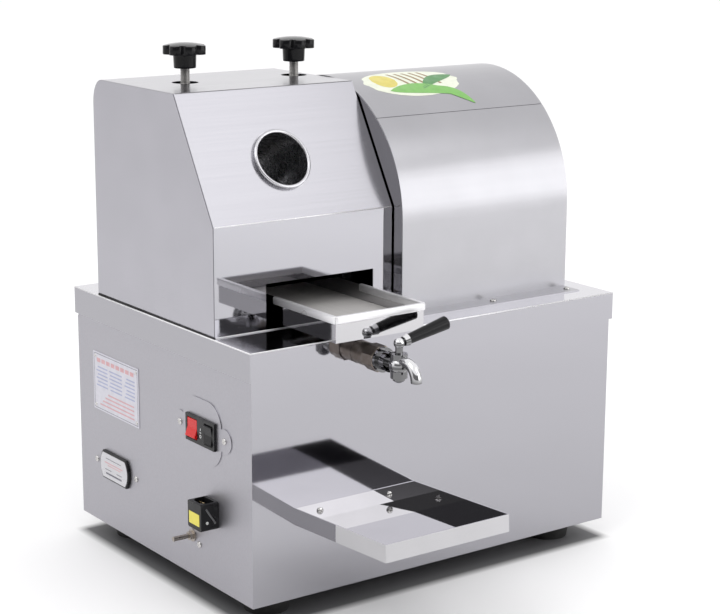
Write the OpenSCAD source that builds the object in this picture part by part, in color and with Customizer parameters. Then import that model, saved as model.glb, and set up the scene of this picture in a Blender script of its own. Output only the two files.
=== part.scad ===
// Electric sugarcane juicer: a folded sheet cabinet on rubber feet, a roller head with a
// slanted feed panel, a gear drum, a bagasse trough with a juice tap, and a drip tray.
// Three fluted rollers stand one above the other in the head. The middle one is driven by a
// geared motor in the cabinet, and two hand screws press the top one down.
// Lengths are millimetres. Setbacks are counted from the lid's left and front edges.

/* [Cabinet] */
// Width of the cabinet
cab_w = 554; // [540:1:640]
// Depth of the cabinet
cab_d = 424; // [410:1:500]
// Height of the cabinet's walls
cab_h = 309; // [290:1:380]
// Thickness of the cabinet's and the head's sheet
sheet = 1.5; // [1:0.1:2]
// Height of the lid's skirt
skirt_h = 35; // [35:1:50]
// Gap between the lid's skirt and the cabinet
skirt_gap = 1.5; // [0.6:0.1:3]
// Thickness of the floor plate
floor_t = 3; // [2:0.5:5]
// Diameter of a rubber foot
foot_d = 62; // [50:1:70]
// Height of a rubber foot
foot_h = 26; // [20:1:40]
// Distance of a foot's middle from the cabinet's sides
foot_in = 52; // [40:1:70]

/* [Head] */
// Distance of the head from the lid's left edge
head_in = 4; // [3:0.5:8]
// Width of the head
head_w = 256; // [252:1:262]
// Setback of the head's upright front panel
head_set = 82; // [76:1:88]
// Depth of the head at its foot
head_d = 288; // [270:1:310]
// Height of the upright front panel
head_low = 131.5; // [124:0.5:140]
// Height of the head above the lid
head_h = 278.5; // [268:0.5:300]
// Depth that the slanted panel covers
slant_run = 86; // [80:1:92]
// Depth of the rounded corner at the top of the back
bevel_run = 23; // [15:1:30]
// Height of the rounded corner at the top of the back
bevel_drop = 30; // [20:1:40]
// Width of the bagasse slot
slot_w = 157; // [145:1:160]
// Height of the bagasse slot
slot_h = 57; // [50:1:62]

/* [Feed tube] */
// Bore of the feed tube
feed_bore = 68; // [60:1:70]
// Wall of the feed tube
feed_wall = 2; // [1.5:0.1:3]
// Setback of the feed tube's middle from the lid's left edge
feed_in = 122; // [121:1:150]
// Distance of the feed tube's middle up the slanted panel
feed_up = 75; // [70:1:90]
// Length of the feed tube inside the head
feed_len = 88; // [60:1:90]
// Height of the rolled rim above the slanted panel
feed_proud = 6; // [4:0.5:9]

/* [Rollers] */
// Setback of the rollers' axes
roll_set = 264; // [258:1:270]
// Height of the bottom roller's axis above the lid
roll_low = 49.5; // [48:0.5:54]
// Teeth of each gear at the rollers' ends
sync_teeth = 16; // [14:2:16]
// Module of the gears at the rollers' ends
sync_mod = 3.5; // [3.2:0.1:3.6]
// Gap between the middle and bottom rollers
nip_low = 1; // [0.6:0.1:2]
// Gap between the middle and top rollers at rest
nip_top = 1.5; // [0.6:0.1:3]
// Grooves around each roller
flute_count = 24; // [16:1:30]
// Diameter of the rollers' shafts
shaft_d = 22; // [18:0.5:24]
// Wall of the bronze bushes
bush_wall = 4; // [3:0.5:5]
// Thickness of the roller stands
stand_t = 14; // [12:0.5:16]
// Width of the roller stands
stand_w = 116; // [104:1:124]
// Distance of the left stand's middle from the head's left side
stand_in = 72; // [70:1:73]
// Distance between the middles of the two stands
stand_span = 161; // [156:1:164]

/* [Press screws] */
// Diameter of the press screws
press_d = 12; // [10:0.5:14]
// Lift of the top roller when the screws are backed off
press_lift = 4; // [2:0.5:6]
// Width of a sliding bearing block
block_w = 40; // [38:1:46]
// Height of a sliding bearing block
block_h = 46; // [40:1:48]
// Diameter of a star knob over its lobes
knob_d = 54; // [46:1:60]
// Thickness of a star knob's head
knob_t = 14; // [10:0.5:16]
// Height of a star knob's hub
knob_hub = 17; // [10:0.5:20]
// Height of a star knob's top above the head
knob_rise = 49; // [44:1:60]
// Lobes of a star knob
knob_lobes = 7; // [5:1:9]
// Diameter of the holes for the screws in the head's top
knob_hole = 33; // [28:1:40]

/* [Drum] */
// Gap between the head and the drum
drum_gap = 2; // [1:0.5:4]
// Width of the drum
drum_w = 269; // [255:1:272]
// Radius of the drum's arch
drum_r = 167; // [162:1:172]
// Shift of the arch's axis in front of the rollers, as a share of its radius
drum_shift_share = 0.21; // [0.18:0.002:0.24]
// Height of the drum's top above the head's
drum_rise = 1; // [0:0.5:5]
// Thickness of the drum's sheet
drum_sheet = 1.2; // [1:0.1:1.6]
// Angle of the seam above the front of the arch
seam_angle = 48; // [35:1:60]
// Width of the drum's foot flange
flange_w = 29; // [20:1:32]

/* [Drive] */
// Teeth of the bull gear
bull_teeth = 56; // [54:2:56]
// Teeth of the drive pinion
pinion_teeth = 14; // [14:1:16]
// Module of the bull gear and its pinion
bull_mod = 4; // [3.9:0.1:4.1]
// Face width of the bull gear
bull_w = 24; // [18:1:28]
// Face width of the gears at the rollers' ends
sync_w = 20; // [14:1:24]
// Diameter of the motor
motor_d = 130; // [110:1:140]
// Length of the motor
motor_len = 100; // [90:1:110]

/* [Trough] */
// Setback of the trough's left wall
trough_in = 87; // [82:1:92]
// Width of the trough
trough_w = 126; // [116:1:130]
// Overhang of the trough in front of the lid
trough_out = 45; // [40:1:52]
// Height of the trough's floor above the lid
trough_rise = 9; // [8:0.5:11]
// Height of the trough's rim above the lid
trough_rim = 40; // [38:0.5:44]
// Thickness of the trough's sheet
pan_t = 1.2; // [1:0.1:1.5]
// Height of the rolled hem along the trough's rim
hem_h = 8; // [5:0.5:10]
// Thickness that the hem adds outside
hem_t = 1.4; // [1:0.1:2]
// Height of the bagasse plate above the trough's floor
plate_h = 11; // [9:0.5:13]

/* [Tap] */
// Setback of the tap from the lid's left edge
tap_in = 154; // [140:1:160]
// Depth of the juice pipe's axis below the lid's top
drain_drop = 19.5; // [18:0.5:20]
// Outside diameter of the juice pipe
drain_d = 28; // [24:0.5:29]
// Bore of the juice pipe
drain_bore = 20; // [16:0.5:22]
// Reach of the juice pipe in front of the lid
drain_out = 44; // [36:1:48]
// Distance of the tap's stem in front of the lid
stem_out = 76; // [72:1:84]
// Outside diameter of the spout
spout_d = 13; // [12:0.5:15]
// Bore of the spout
spout_bore = 8.5; // [7:0.5:9]
// Radius of the spout's bend
spout_r = 19; // [16:0.5:24]
// Length of the lever's grip
grip_len = 60; // [50:1:75]
// Rise of the lever above level
lever_tilt = 12.5; // [0:0.5:20]

/* [Drip tray] */
// Setback of the drip tray's left wall
tray_in = 62; // [50:1:80]
// Width of the drip tray
tray_w = 177; // [150:1:200]
// Depth of the drip tray
tray_d = 180; // [160:1:200]
// Rise of the drip tray's rim from its back to its front
tray_rise = 9; // [2:1:20]
// Height of the tray's rim at the back, as a share of the cabinet's height
tray_top_share = 0.367; // [0.3:0.001:0.45]
// Height of the tray's walls
tray_h = 21; // [18:1:30]

/* [Side fittings] */
// Setback of the switch's middle, as a share of the lid's depth
switch_set_share = 0.26; // [0.25:0.005:0.3]
// Height of the switch's middle, as a share of the cabinet's height
switch_up_share = 0.618; // [0.57:0.002:0.68]
// Width of the switch bezel
bezel_w = 66; // [62:1:70]
// Height of the switch bezel
bezel_h = 34; // [32:1:38]
// Setback of the rating plate's middle, as a share of the lid's depth
rating_set_share = 0.76; // [0.72:0.005:0.8]
// Height of the rating plate's middle, as a share of the cabinet's height
rating_up_share = 0.628; // [0.57:0.002:0.68]
// Width of the rating plate
rating_w = 120; // [100:1:130]
// Height of the rating plate
rating_h = 78; // [60:1:90]
// Setback of the blanking cover's middle, as a share of the lid's depth
cover_set_share = 0.77; // [0.72:0.005:0.8]
// Height of the blanking cover's middle, as a share of the cabinet's height
cover_up_share = 0.275; // [0.23:0.005:0.32]
// Width of the blanking cover
cover_w = 76; // [66:1:84]
// Height of the blanking cover
cover_h = 38; // [34:1:44]
// Setback of the power inlet's middle, as a share of the lid's depth
inlet_set_share = 0.215; // [0.2:0.005:0.24]
// Height of the power inlet's middle, as a share of the cabinet's height
inlet_up_share = 0.307; // [0.28:0.001:0.35]
// Setback of the earth stud, as a share of the lid's depth
stud_set_share = 0.323; // [0.31:0.001:0.35]
// Height of the earth stud, as a share of the cabinet's height
stud_up_share = 0.168; // [0.15:0.002:0.19]
// Length of the earth stud outside the cabinet
stud_len = 28; // [25.5:0.5:36]

/* [Hidden] */
$fn = 48;
// Overrun of every cut
over = 1;
// Radial clearance of running shafts
fit = 0.05;
// Radial clearance of seated pieces
seat = 0.02;
// Clearance of a sliding block in its window, each side
slide_fit = 0.15;
// Radial clearance of screws and pipes in their holes
hole_gap = 0.3;

// The lid and the datums
lid_w = cab_w + 2 * (skirt_gap + sheet);
lid_d = cab_d + 2 * (skirt_gap + sheet);
left = -lid_w / 2;
front = -lid_d / 2;
deck = foot_h + cab_h + sheet;
side_x = -cab_w / 2;
face_y = -cab_d / 2;

// Back panel
back_rim = 22;
back_lap = 14;
back_drop = 4;
back_top = deck - skirt_h - back_drop;
vent_w = 5;
vent_h = 46;
vent_pitch = 16;
vent_count = 12;
vent_row_shares = [0.3, 0.66];
back_screw_shares = [0, 0.5, 1];

// Feet
foot_taper = 4;
foot_bolt_d = 8;
foot_head_d = 15;
foot_head_h = 5.5;
foot_sink = 14;
foot_nut_h = 6.5;

// Pan head screws
screw_d = 4;
screw_len = 8;
screw_head_d = 8.4;
screw_head_h = 2.6;

// The tray's walls stand square to its sloping floor, apart from its upright back wall
tray_slope = atan2(tray_rise, tray_d);
tray_reach = tray_d + tray_h * sin(tray_slope);

// The origin lies on the ground under the middle of the whole machine
mid_x = (lid_w / 2 + side_x - stud_len) / 2;
mid_y = (max(-front, -face_y + sheet + screw_head_h) + face_y - tray_reach) / 2;

// Head
head_x = [left + head_in, left + head_in + head_w];
head_y = [front + head_set, front + head_set + head_d];
head_top = deck + head_h;
slant_rise = head_h - head_low;
slant_angle = atan2(slant_run, slant_rise);
bevel_steps = 6;
head_outline = [
    [head_y[0], deck],
    [head_y[1], deck],
    for (k = [0:bevel_steps])
        let (a = 90 * k / bevel_steps)
        [head_y[1] - bevel_run * (1 - cos(a)), head_top - bevel_drop * (1 - sin(a))],
    [head_y[0] + slant_run, head_top],
    [head_y[0], deck + head_low]
];
slot_gap = 0.8;
slot_side = 12;

// Feed tube
feed_x = left + feed_in;
feed_y = head_y[0] + feed_up * sin(slant_angle);
feed_z = deck + head_low + feed_up * cos(slant_angle);
feed_r = feed_bore / 2 + feed_wall;
feed_bead = 4.6;
feed_collar = 3;
feed_collar_t = 1;

// Rollers, their gears and stands
roll_pitch = sync_teeth * sync_mod;
sync_up = 90;
sync_half = 180 / sync_teeth;
roll_y = front + roll_set;
roll_z = [for (i = [0:2]) deck + roll_low + i * roll_pitch];
roll_d = roll_pitch - nip_low;
roll_top_d = 2 * (roll_pitch - nip_top) - roll_d;
flute_d = 3.2;
stand_x = [for (i = [0, 1]) head_x[0] + stand_in + i * stand_span];
stand_in_x = [stand_x[0] + stand_t / 2, stand_x[1] - stand_t / 2];
pan_gap = 1;
roll_end = 3;
barrel_x = [stand_in_x[0] + pan_gap + pan_t + roll_end, stand_in_x[1] - pan_gap - pan_t - roll_end];
bush_d = shaft_d + 2 * bush_wall;
sync_gap = 5;
shaft_stub = 3;
sync_x = [stand_x[0] - stand_t / 2 - sync_gap - sync_w, stand_x[0] - stand_t / 2 - sync_gap];
shaft_x0 = sync_x[0] - shaft_stub;
shaft_x1 = stand_x[1] + stand_t / 2 + shaft_stub;
tooth_root_share = 0.62;
tooth_tip_share = 0.26;
tooth_deep_share = 1.25;

// Stand windows, yokes and bolts
yoke_w = 50;
yoke_t = 20;
yoke_h = 22;
window_gap = 1.5;
window_z = [roll_z[2] - block_h / 2, roll_z[2] + block_h / 2 + press_lift + window_gap];
yoke_z = [window_z[1], window_z[1] + yoke_h];
stand_bevel = 18;
bolt_d = 8;
bolt_head_d = 15;
bolt_head_h = 5.5;
bolt_deep = 24;
bolt_share = 0.36;
tie_d = 14;
tie_share = 0.4;
tie_high_share = 0.9;
tie_low_share = 0.24;

// Press screws and knobs
knob_top = head_top + knob_rise;
knob_hub_d = 27.5;
knob_hub_taper = 1.5;
knob_lobe_share = 0.34;
knob_core_share = 0.7;
knob_crown = 4;
knob_cap = 3;

// Turn plate and scraper
turn_gap = 5.5;
turn_t = 3;
turn_angle = 50;
scrape_t = 2;
scrape_gap = 1;
scrape_tip_share = 0.3;

// Trough and juice pan
trough_x = [left + trough_in, left + trough_in + trough_w];
trough_y = front - trough_out;
trough_z = [deck + trough_rise, deck + trough_rim];
slot_x = [trough_x[0] - slot_side, trough_x[0] - slot_side + slot_w];
pan_x = [stand_in_x[0] + pan_gap, stand_in_x[1] - pan_gap];
pan_jog = roll_y - stand_w / 2 - 2 * pan_gap;
pan_behind = 92;
pan_back = roll_y + pan_behind;
pan_h = 22;
skid_w = 10;
skid_shares = [0.2, 0.8];
plate_gap = 0.6;
plate_back_gap = 2;

// Juice pipe and tap
drain_x = left + tap_in;
drain_back = 31;
drain_y = head_y[0] + drain_back;
drain_z = deck - drain_drop;
pipe_end = front - drain_out;
stem_y = front - stem_out;
tap_flange_d = 30;
tap_flange_t = 4;
tap_neck_d = 16;
tap_nut_d = 24;
tap_nut_t = 13;
valve_d = 20;
valve_belly_d = 24;
valve_up = 14;
valve_down = 15;
plug_d = 12;
port_d = 7;
port_rise = 3;
spout_rise = 6;
stem_d = 9;
stem_up = 26;
ball_z = drain_z + stem_up;
spout_z = drain_z + spout_rise;
ball_d = 13;
ferrule_d = 14.5;
ferrule_len = 6;
ferrule_taper = 3;
grip_thin = 12;
grip_thick = 16.5;
grip_tang_share = 0.25;
grip_dome = 3.5;
tang_d = 5.6;
tap_cap_d = 14;
tap_cap_h = 6;
spout_lead = 14;
spout_tail = 1;

// Drip tray
tray_t = 1.2;
tray_x = [left + tray_in, left + tray_in + tray_w];
tray_top = foot_h + tray_top_share * cab_h;
tray_z = [tray_top - tray_h, tray_top];
tray_front = [face_y - tray_d, tray_top + tray_rise];
tray_outline = [
    [face_y, tray_z[0]],
    [face_y, tray_z[1]],
    tray_front,
    [face_y - tray_reach, tray_front[1] - tray_h * cos(tray_slope)]
];
tray_screw_shares = [0.2, 0.78];
tray_screw_drop = 10;

// Drum
drum_x = [head_x[1] + drum_gap, head_x[1] + drum_gap + drum_w];
drum_axis = head_h + drum_rise - drum_r;
drum_y = roll_y - drum_shift_share * drum_r;
drum_z = deck + drum_axis;
drum_in = drum_r - drum_sheet;
seam_at = 180 - seam_angle;
seam_gap = 0.8;
seam_gap_angle = 180 * seam_gap / (PI * drum_r);
lap_w = 12;
lap_angle = 180 * lap_w / (PI * drum_r);
end_gap = 0.1;
shaft_hole = 44;
drum_screw_shares = [0.035, 0.5, 0.965];

// Drive
bull_pitch = bull_mod * bull_teeth / 2;
pinion_pitch = bull_mod * pinion_teeth / 2;
bull_gap = 14;
bull_x = [drum_x[0] + bull_gap, drum_x[0] + bull_gap + bull_w];
bull_web = 8;
bull_hub_d = 52;
bull_rim = 16;
bull_hole_d = 38;
bull_holes = 6;
drive_z = roll_z[1] - bull_pitch - pinion_pitch;
out_gap = 20;
out_x = [bull_x[1] + out_gap, bull_x[1] + out_gap + stand_t];
out_w = 76;
bed_t = 8;
bed_z = [deck - sheet - bed_t, deck - sheet];
bed_margin = 12;
gear_room = 5;
box_gap = 10;
box_len = 60;
box_x = [out_x[1] + box_gap, out_x[1] + box_gap + box_len];
box_w = 124;
box_low = 120;
box_r = 16;
motor_drop = 50;
motor_fins = 24;
fin_t = 3;
fin_h = 6;
fan_len = 30;
pinion_shaft = 20;
pinion_deep = 30;

// Switch
switch_y = front + switch_set_share * lid_d;
switch_z = foot_h + switch_up_share * cab_h;
plate_t = 1;
switch_plate_w = 88;
switch_plate_h = 80;
switch_plate_r = 30;
ear_d = 30;
ear_span = 102;
ear_neck_share = 0.5;
bezel_t = 3.5;
bezel_rim = 2;
switch_deep = 24;
switch_wall = 2;
red_w = 22;
black_w = 18;
rocker_r = 12.6;
rocker_gap = 0.4;
rocker_flat = 4.2;
rocker_dip = 10;
rocker_back = 5;
rocker_pin_d = 3;
rocker_pin_len = 1.5;
rocker_out = bezel_w / 2 - bezel_rim - switch_wall - rocker_gap;
red_y = switch_y + rocker_out - red_w / 2;
black_y = switch_y - rocker_out + black_w / 2;
rockers = [[red_y, red_w], [black_y, black_w]];
rocker_x = side_x - plate_t - bezel_t + rocker_flat;

// Rating plate, blanking cover, power inlet and earth stud
rating_t = 0.8;
rating_y = front + rating_set_share * lid_d;
rating_z = foot_h + rating_up_share * cab_h;
rivet_in = 6;
rivet_d = 5;
rivet_h = 1.4;
cover_t = 7;
cover_y = front + cover_set_share * lid_d;
cover_z = foot_h + cover_up_share * cab_h;
cover_belly = 7;
cover_screw_span = 105;
inlet_w = 31;
inlet_h = 34;
inlet_proud = 25;
inlet_r = 3;
inlet_y = front + inlet_set_share * lid_d;
inlet_z = foot_h + inlet_up_share * cab_h;
inlet_neck = 4;
socket_w = 17;
socket_h = 24;
socket_deep = 15;
socket_cut = 5;
socket_x = side_x - inlet_proud / 2;
socket_z = inlet_z + inlet_h / 2 - socket_deep;
prong_w = 2;
prong_h = 4;
prong_len = 12;
prong_pitch = 7;
stud_y = front + stud_set_share * lid_d;
stud_z = foot_h + stud_up_share * cab_h;
stud_d = 6;
stud_nut_d = 11.5;
stud_nut_h = 5;
stud_washer_d = 16;
stud_washer_t = 1.5;
stud_in = 8;
stud_neck_d = 5.2;
spare_ahead = 16;
spare_drop = 8;
spare_screw = [stud_y - spare_ahead, stud_z - spare_drop];

// Moves the children from the cabinet's middle to the part's origin
module place() translate([-mid_x, -mid_y, 0]) children();

// A box between two limits on each axis
module span(x, y, z) {
    translate([x[0], y[0], z[0]]) cube([x[1] - x[0], y[1] - y[0], z[1] - z[0]]);
}

// Round bars along each axis
module rod_x(d, x, y, z) translate([x[0], y, z]) rotate([0, 90, 0]) cylinder(d = d, h = x[1] - x[0]);
module rod_y(d, x, y, z) translate([x, y[1], z]) rotate([90, 0, 0]) cylinder(d = d, h = y[1] - y[0]);
module rod_z(d, x, y, z) translate([x, y, z[0]]) cylinder(d = d, h = z[1] - z[0]);

// Extrudes a side outline, drawn in Y and Z, between two places along X
module along_x(x) {
    translate([x[0], 0, 0]) rotate([90, 0, 90]) linear_extrude(x[1] - x[0]) children();
}

// Extrudes an outline of the left face, drawn in Y and Z, outwards from the cabinet
module on_side(y, z, from, t) {
    translate([side_x - from - t, y, z]) rotate([90, 0, 90]) linear_extrude(t) children();
}

// A rectangle with round corners about the origin
module round_rect(w, h, r) {
    square([w - 2 * r, h], center = true);
    square([w, h - 2 * r], center = true);
    for (i = [-1, 1], j = [-1, 1]) translate([i * (w / 2 - r), j * (h / 2 - r)]) circle(r);
}

// Moves each corner of an outline inwards by a wall's thickness
function unit(v) = v / norm(v);
function inward(v) = [-v[1], v[0]];
function inset(p, t) = [
    for (i = [0:len(p) - 1])
        let (n0 = inward(unit(p[i] - p[(i + len(p) - 1) % len(p)])))
        let (n1 = inward(unit(p[(i + 1) % len(p)] - p[i])))
        p[i] + t * (n0 + n1) / (1 + n0 * n1)
];

// A spur gear's outline with a tooth at the given angle
function polar(r, a) = [r * cos(a), r * sin(a)];
module gear_outline(teeth, m, at) {
    step = 360 / teeth;
    root = m * (teeth / 2 - tooth_deep_share);
    tip = m * (teeth / 2 + 1);
    root_half = step * tooth_root_share / 2;
    tip_half = step * tooth_tip_share / 2;
    polygon([
        for (i = [0:teeth - 1])
            let (a = at + i * step)
            each [
                polar(root, a - root_half), polar(tip, a - tip_half),
                polar(tip, a + tip_half), polar(root, a + root_half)
            ]
    ]);
}

// A low dome standing on its flat side
module dome(d, h) {
    r = (d * d / 4 + h * h) / (2 * h);
    rotate_extrude() intersection() {
        translate([0, h - r]) circle(r);
        square([d / 2, h]);
    }
}

// A pan head screw with its head on the seat and its shank below
module pan_screw() {
    dome(screw_head_d, screw_head_h);
    translate([0, 0, -screw_len]) cylinder(d = screw_d, h = screw_len + over);
}

// A hexagonal head or nut
module hex(d, h) cylinder(d = d, h = h, $fn = 6);
module nut(d, h, bolt) difference() {
    hex(d, h);
    translate([0, 0, -over]) cylinder(d = bolt + 2 * seat, h = h + 2 * over);
}

// Places of the feet, the side screws, the tray's screws and the back panel's screws
module at_feet() {
    for (i = [-1, 1], j = [-1, 1]) {
        translate([i * (cab_w / 2 - foot_in), j * (cab_d / 2 - foot_in), 0]) children();
    }
}
module at_switch_screws() {
    for (i = [-1, 1]) {
        translate([side_x, switch_y + i * ear_span / 2, switch_z]) rotate([0, -90, 0]) children();
    }
}
module at_cover_screws() {
    for (i = [-1, 1]) {
        translate([side_x, cover_y + i * cover_screw_span / 2, cover_z]) rotate([0, -90, 0]) children();
    }
    translate([side_x, spare_screw[0], spare_screw[1]]) rotate([0, -90, 0]) children();
}
module at_tray_screws() {
    for (s = tray_screw_shares) {
        translate([tray_x[0] + s * tray_w, face_y, tray_z[1] - tray_screw_drop])
            rotate([90, 0, 0]) children();
    }
}
module at_back_screws() {
    for (i = [-1, 1], j = back_screw_shares) {
        translate([
            i * (cab_w / 2 - back_rim / 2),
            cab_d / 2,
            foot_h + back_rim / 2 + j * (back_top - foot_h - back_rim)
        ]) rotate([-90, 0, 0]) children();
    }
}
module at_drum_screws() {
    for (s = drum_screw_shares) {
        translate([drum_x[0] + s * drum_w, drum_y - drum_r - flange_w / 2, deck]) children();
    }
}
module at_frame_bolts() {
    for (x = [stand_x[0], stand_x[1]], j = [-1, 1]) {
        translate([x, roll_y + j * bolt_share * stand_w, deck]) children();
    }
    for (j = [-1, 1]) {
        translate([(out_x[0] + out_x[1]) / 2, roll_y + j * bolt_share * out_w, deck]) children();
    }
}

// Four walls with a service opening in the back
module cabinet_shell() color("silver") place() difference() {
    span([side_x, -side_x], [face_y, -face_y], [foot_h, foot_h + cab_h]);
    span(
        [side_x + sheet, -side_x - sheet],
        [face_y + sheet, -face_y - sheet],
        [foot_h - over, foot_h + cab_h + over]
    );
    span(
        [side_x + back_rim, -side_x - back_rim],
        [-face_y - sheet - over, -face_y + over],
        [foot_h + back_rim, back_top - back_lap]
    );
    rod_y(drain_d + 2 * hole_gap, drain_x, [face_y - over, face_y + sheet + over], drain_z);
    translate([side_x + sheet / 2, switch_y, switch_z])
        cube([sheet + 2 * over, bezel_w - bezel_rim, bezel_h - bezel_rim], center = true);
    translate([side_x + sheet / 2, inlet_y, inlet_z])
        cube([sheet + 2 * over, inlet_w - inlet_neck, inlet_h - inlet_neck], center = true);
    rod_x(stud_d + 2 * hole_gap, [side_x - over, side_x + sheet + over], stud_y, stud_z);
    at_switch_screws() screw_hole();
    at_cover_screws() screw_hole();
    at_tray_screws() screw_hole();
    at_back_screws() screw_hole();
}
module screw_hole() translate([0, 0, -screw_len]) cylinder(d = screw_d + 2 * hole_gap, h = 2 * screw_len);

// Louvred panel over the service opening
module back_panel() color("lightgray") place() difference() {
    span([side_x, -side_x], [-face_y, -face_y + sheet], [foot_h, back_top]);
    for (s = vent_row_shares, i = [0:vent_count - 1]) {
        translate([
            (i - (vent_count - 1) / 2) * vent_pitch,
            -face_y + sheet / 2,
            foot_h + s * (back_top - foot_h)
        ]) cube([vent_w, sheet + 2 * over, vent_h], center = true);
    }
    at_back_screws() screw_hole();
}

// Floor of the cabinet
module bottom_plate() color("dimgray") place() difference() {
    span([side_x + sheet, -side_x - sheet], [face_y + sheet, -face_y - sheet], [foot_h, foot_h + floor_t]);
    at_feet() cylinder(d = foot_bolt_d + 2 * hole_gap, h = foot_h + floor_t + over);
}

// Folded top with its skirt
module lid() color("gainsboro") place() difference() {
    span([left, -left], [front, -front], [deck - skirt_h, deck]);
    span(
        [left + sheet, -left - sheet],
        [front + sheet, -front - sheet],
        [deck - skirt_h - over, deck - sheet]
    );
    rod_z(drain_d + 2 * hole_gap, drain_x, drain_y, [deck - sheet - over, deck + over]);
    rod_y(drain_d + 2 * hole_gap, drain_x, [front - over, front + sheet + over], drain_z);
    gear_slot();
    at_frame_bolts() bolt_hole(sheet);
    at_drum_screws() screw_hole();
}
module gear_slot() {
    half = sqrt(pow(bull_pitch + bull_mod, 2) - pow(roll_z[1] - deck, 2)) + gear_room;
    span(
        [bull_x[0] - gear_room, bull_x[1] + gear_room],
        [roll_y - half, roll_y + half],
        [bed_z[0] - over, deck + over]
    );
}
module bolt_hole(t) translate([0, 0, -t - over]) cylinder(d = bolt_d + 2 * hole_gap, h = t + 2 * over);

// Four tapered feet with a sunk bolt head
module rubber_feet() color("black") place() at_feet() difference() {
    cylinder(d1 = foot_d - 2 * foot_taper, d2 = foot_d, h = foot_h);
    translate([0, 0, -over]) cylinder(d = foot_bolt_d + 2 * hole_gap, h = foot_h + 2 * over);
    translate([0, 0, -over]) cylinder(d = foot_head_d + foot_taper, h = foot_sink + over);
}
module foot_screws() color("gray") place() at_feet() {
    translate([0, 0, foot_sink - foot_head_h]) hex(foot_head_d, foot_head_h);
    translate([0, 0, foot_sink - foot_head_h])
        cylinder(d = foot_bolt_d, h = foot_h + floor_t - foot_sink + foot_head_h + 2 * foot_nut_h);
    translate([0, 0, foot_h + floor_t]) nut(foot_head_d, foot_nut_h, foot_bolt_d);
}

// Screws of the sides, the tray, the back and the drum
module panel_screws() color("whitesmoke") place() {
    at_switch_screws() translate([0, 0, plate_t]) pan_screw();
    at_cover_screws() pan_screw();
    at_tray_screws() translate([0, 0, tray_t]) pan_screw();
    at_back_screws() translate([0, 0, sheet]) pan_screw();
    at_drum_screws() translate([0, 0, drum_sheet]) pan_screw();
}

// Folded front, slanted panel, top and back of the head
module head_cover() color("gainsboro") place() difference() {
    along_x(head_x) polygon(head_outline);
    along_x([head_x[0] - over, head_x[1] + over]) polygon(inset(head_outline, sheet));
    span(
        [head_x[0] - over, head_x[1] + over],
        [head_y[0] + sheet, head_y[1] - sheet],
        [deck - over, deck + 2 * sheet]
    );
    span(slot_x, [head_y[0] - over, head_y[0] + sheet + over], [deck - over, deck + slot_h]);
    at_feed() cylinder(r = feed_r + hole_gap, h = 2 * (sheet + over), center = true);
    for (x = stand_x) rod_z(knob_hole, x, roll_y, [head_top - sheet - over, head_top + over]);
}
module at_feed() translate([feed_x, feed_y, feed_z]) rotate([90 - slant_angle, 0, 0]) children();

// Flat ends of the head
module head_side(x) along_x([x, x + sheet]) polygon(inset(head_outline, sheet));
module head_foot(x) {
    span([x, x + sheet], [head_y[0] + sheet, head_y[1] - sheet], [deck, deck + 2 * sheet]);
}
module head_left_side() color("lightgray") place() {
    head_side(head_x[0]);
    head_foot(head_x[0]);
}
module head_right_side() color("lightgray") place() difference() {
    union() {
        head_side(head_x[1] - sheet);
        head_foot(head_x[1] - sheet);
    }
    rod_x(shaft_hole, [head_x[1] - sheet - over, head_x[1] + over], roll_y, roll_z[1]);
}

// Tube with a rolled rim, set square in the slanted panel
module feed_tube() color("silver") place() at_feed() rotate_extrude() {
    translate([feed_bore / 2, -feed_len]) square([feed_wall, feed_len + feed_proud - feed_bead / 2]);
    translate([feed_r, feed_proud - feed_bead / 2]) circle(d = feed_bead);
    translate([feed_bore / 2, seat]) square([feed_wall + feed_collar, feed_collar_t]);
}

// Stand plate with two bush bores, a window for the sliding block and a threaded yoke
module stand(i) difference() {
    union() {
        along_x([stand_x[i] - stand_t / 2, stand_x[i] + stand_t / 2]) polygon([
            [roll_y - stand_w / 2, deck],
            [roll_y + stand_w / 2, deck],
            [roll_y + stand_w / 2, yoke_z[1] - stand_bevel],
            [roll_y + stand_w / 2 - stand_bevel, yoke_z[1]],
            [roll_y - stand_w / 2 + stand_bevel, yoke_z[1]],
            [roll_y - stand_w / 2, yoke_z[1] - stand_bevel]
        ]);
        span(
            [stand_x[i] - yoke_t / 2, stand_x[i] + yoke_t / 2],
            [roll_y - yoke_w / 2, roll_y + yoke_w / 2],
            yoke_z
        );
    }
    span(
        [stand_x[i] - yoke_t, stand_x[i] + yoke_t],
        [roll_y - block_w / 2 - slide_fit, roll_y + block_w / 2 + slide_fit],
        window_z
    );
    for (z = [roll_z[0], roll_z[1]]) {
        rod_x(bush_d + 2 * seat, [stand_x[i] - yoke_t, stand_x[i] + yoke_t], roll_y, z);
    }
    rod_z(press_d + 2 * fit, stand_x[i], roll_y, [window_z[1] - over, yoke_z[1] + over]);
    for (j = [-1, 1]) {
        rod_z(bolt_d + 2 * fit, stand_x[i], roll_y + j * bolt_share * stand_w,
            [deck - over, deck + bolt_deep]);
    }
}
module left_stand() color("slategray") place() stand(0);
module right_stand() color("slategray") place() stand(1);

// Bearing stand at the far end of the main shaft
module outboard_stand() color("slategray") place() difference() {
    union() {
        span(out_x, [roll_y - out_w / 2, roll_y + out_w / 2], [deck, roll_z[1]]);
        rod_x(out_w, out_x, roll_y, roll_z[1]);
    }
    rod_x(bush_d + 2 * seat, [out_x[0] - over, out_x[1] + over], roll_y, roll_z[1]);
    for (j = [-1, 1]) {
        rod_z(bolt_d + 2 * fit, (out_x[0] + out_x[1]) / 2, roll_y + j * bolt_share * out_w,
            [deck - over, deck + bolt_deep]);
    }
}

// Bars that hold the stands apart
module tie_bars() color("gray") place() {
    for (s = [tie_low_share, tie_high_share]) {
        rod_x(tie_d, stand_in_x, roll_y + tie_share * stand_w, deck + s * (yoke_z[1] - deck));
    }
}

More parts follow.
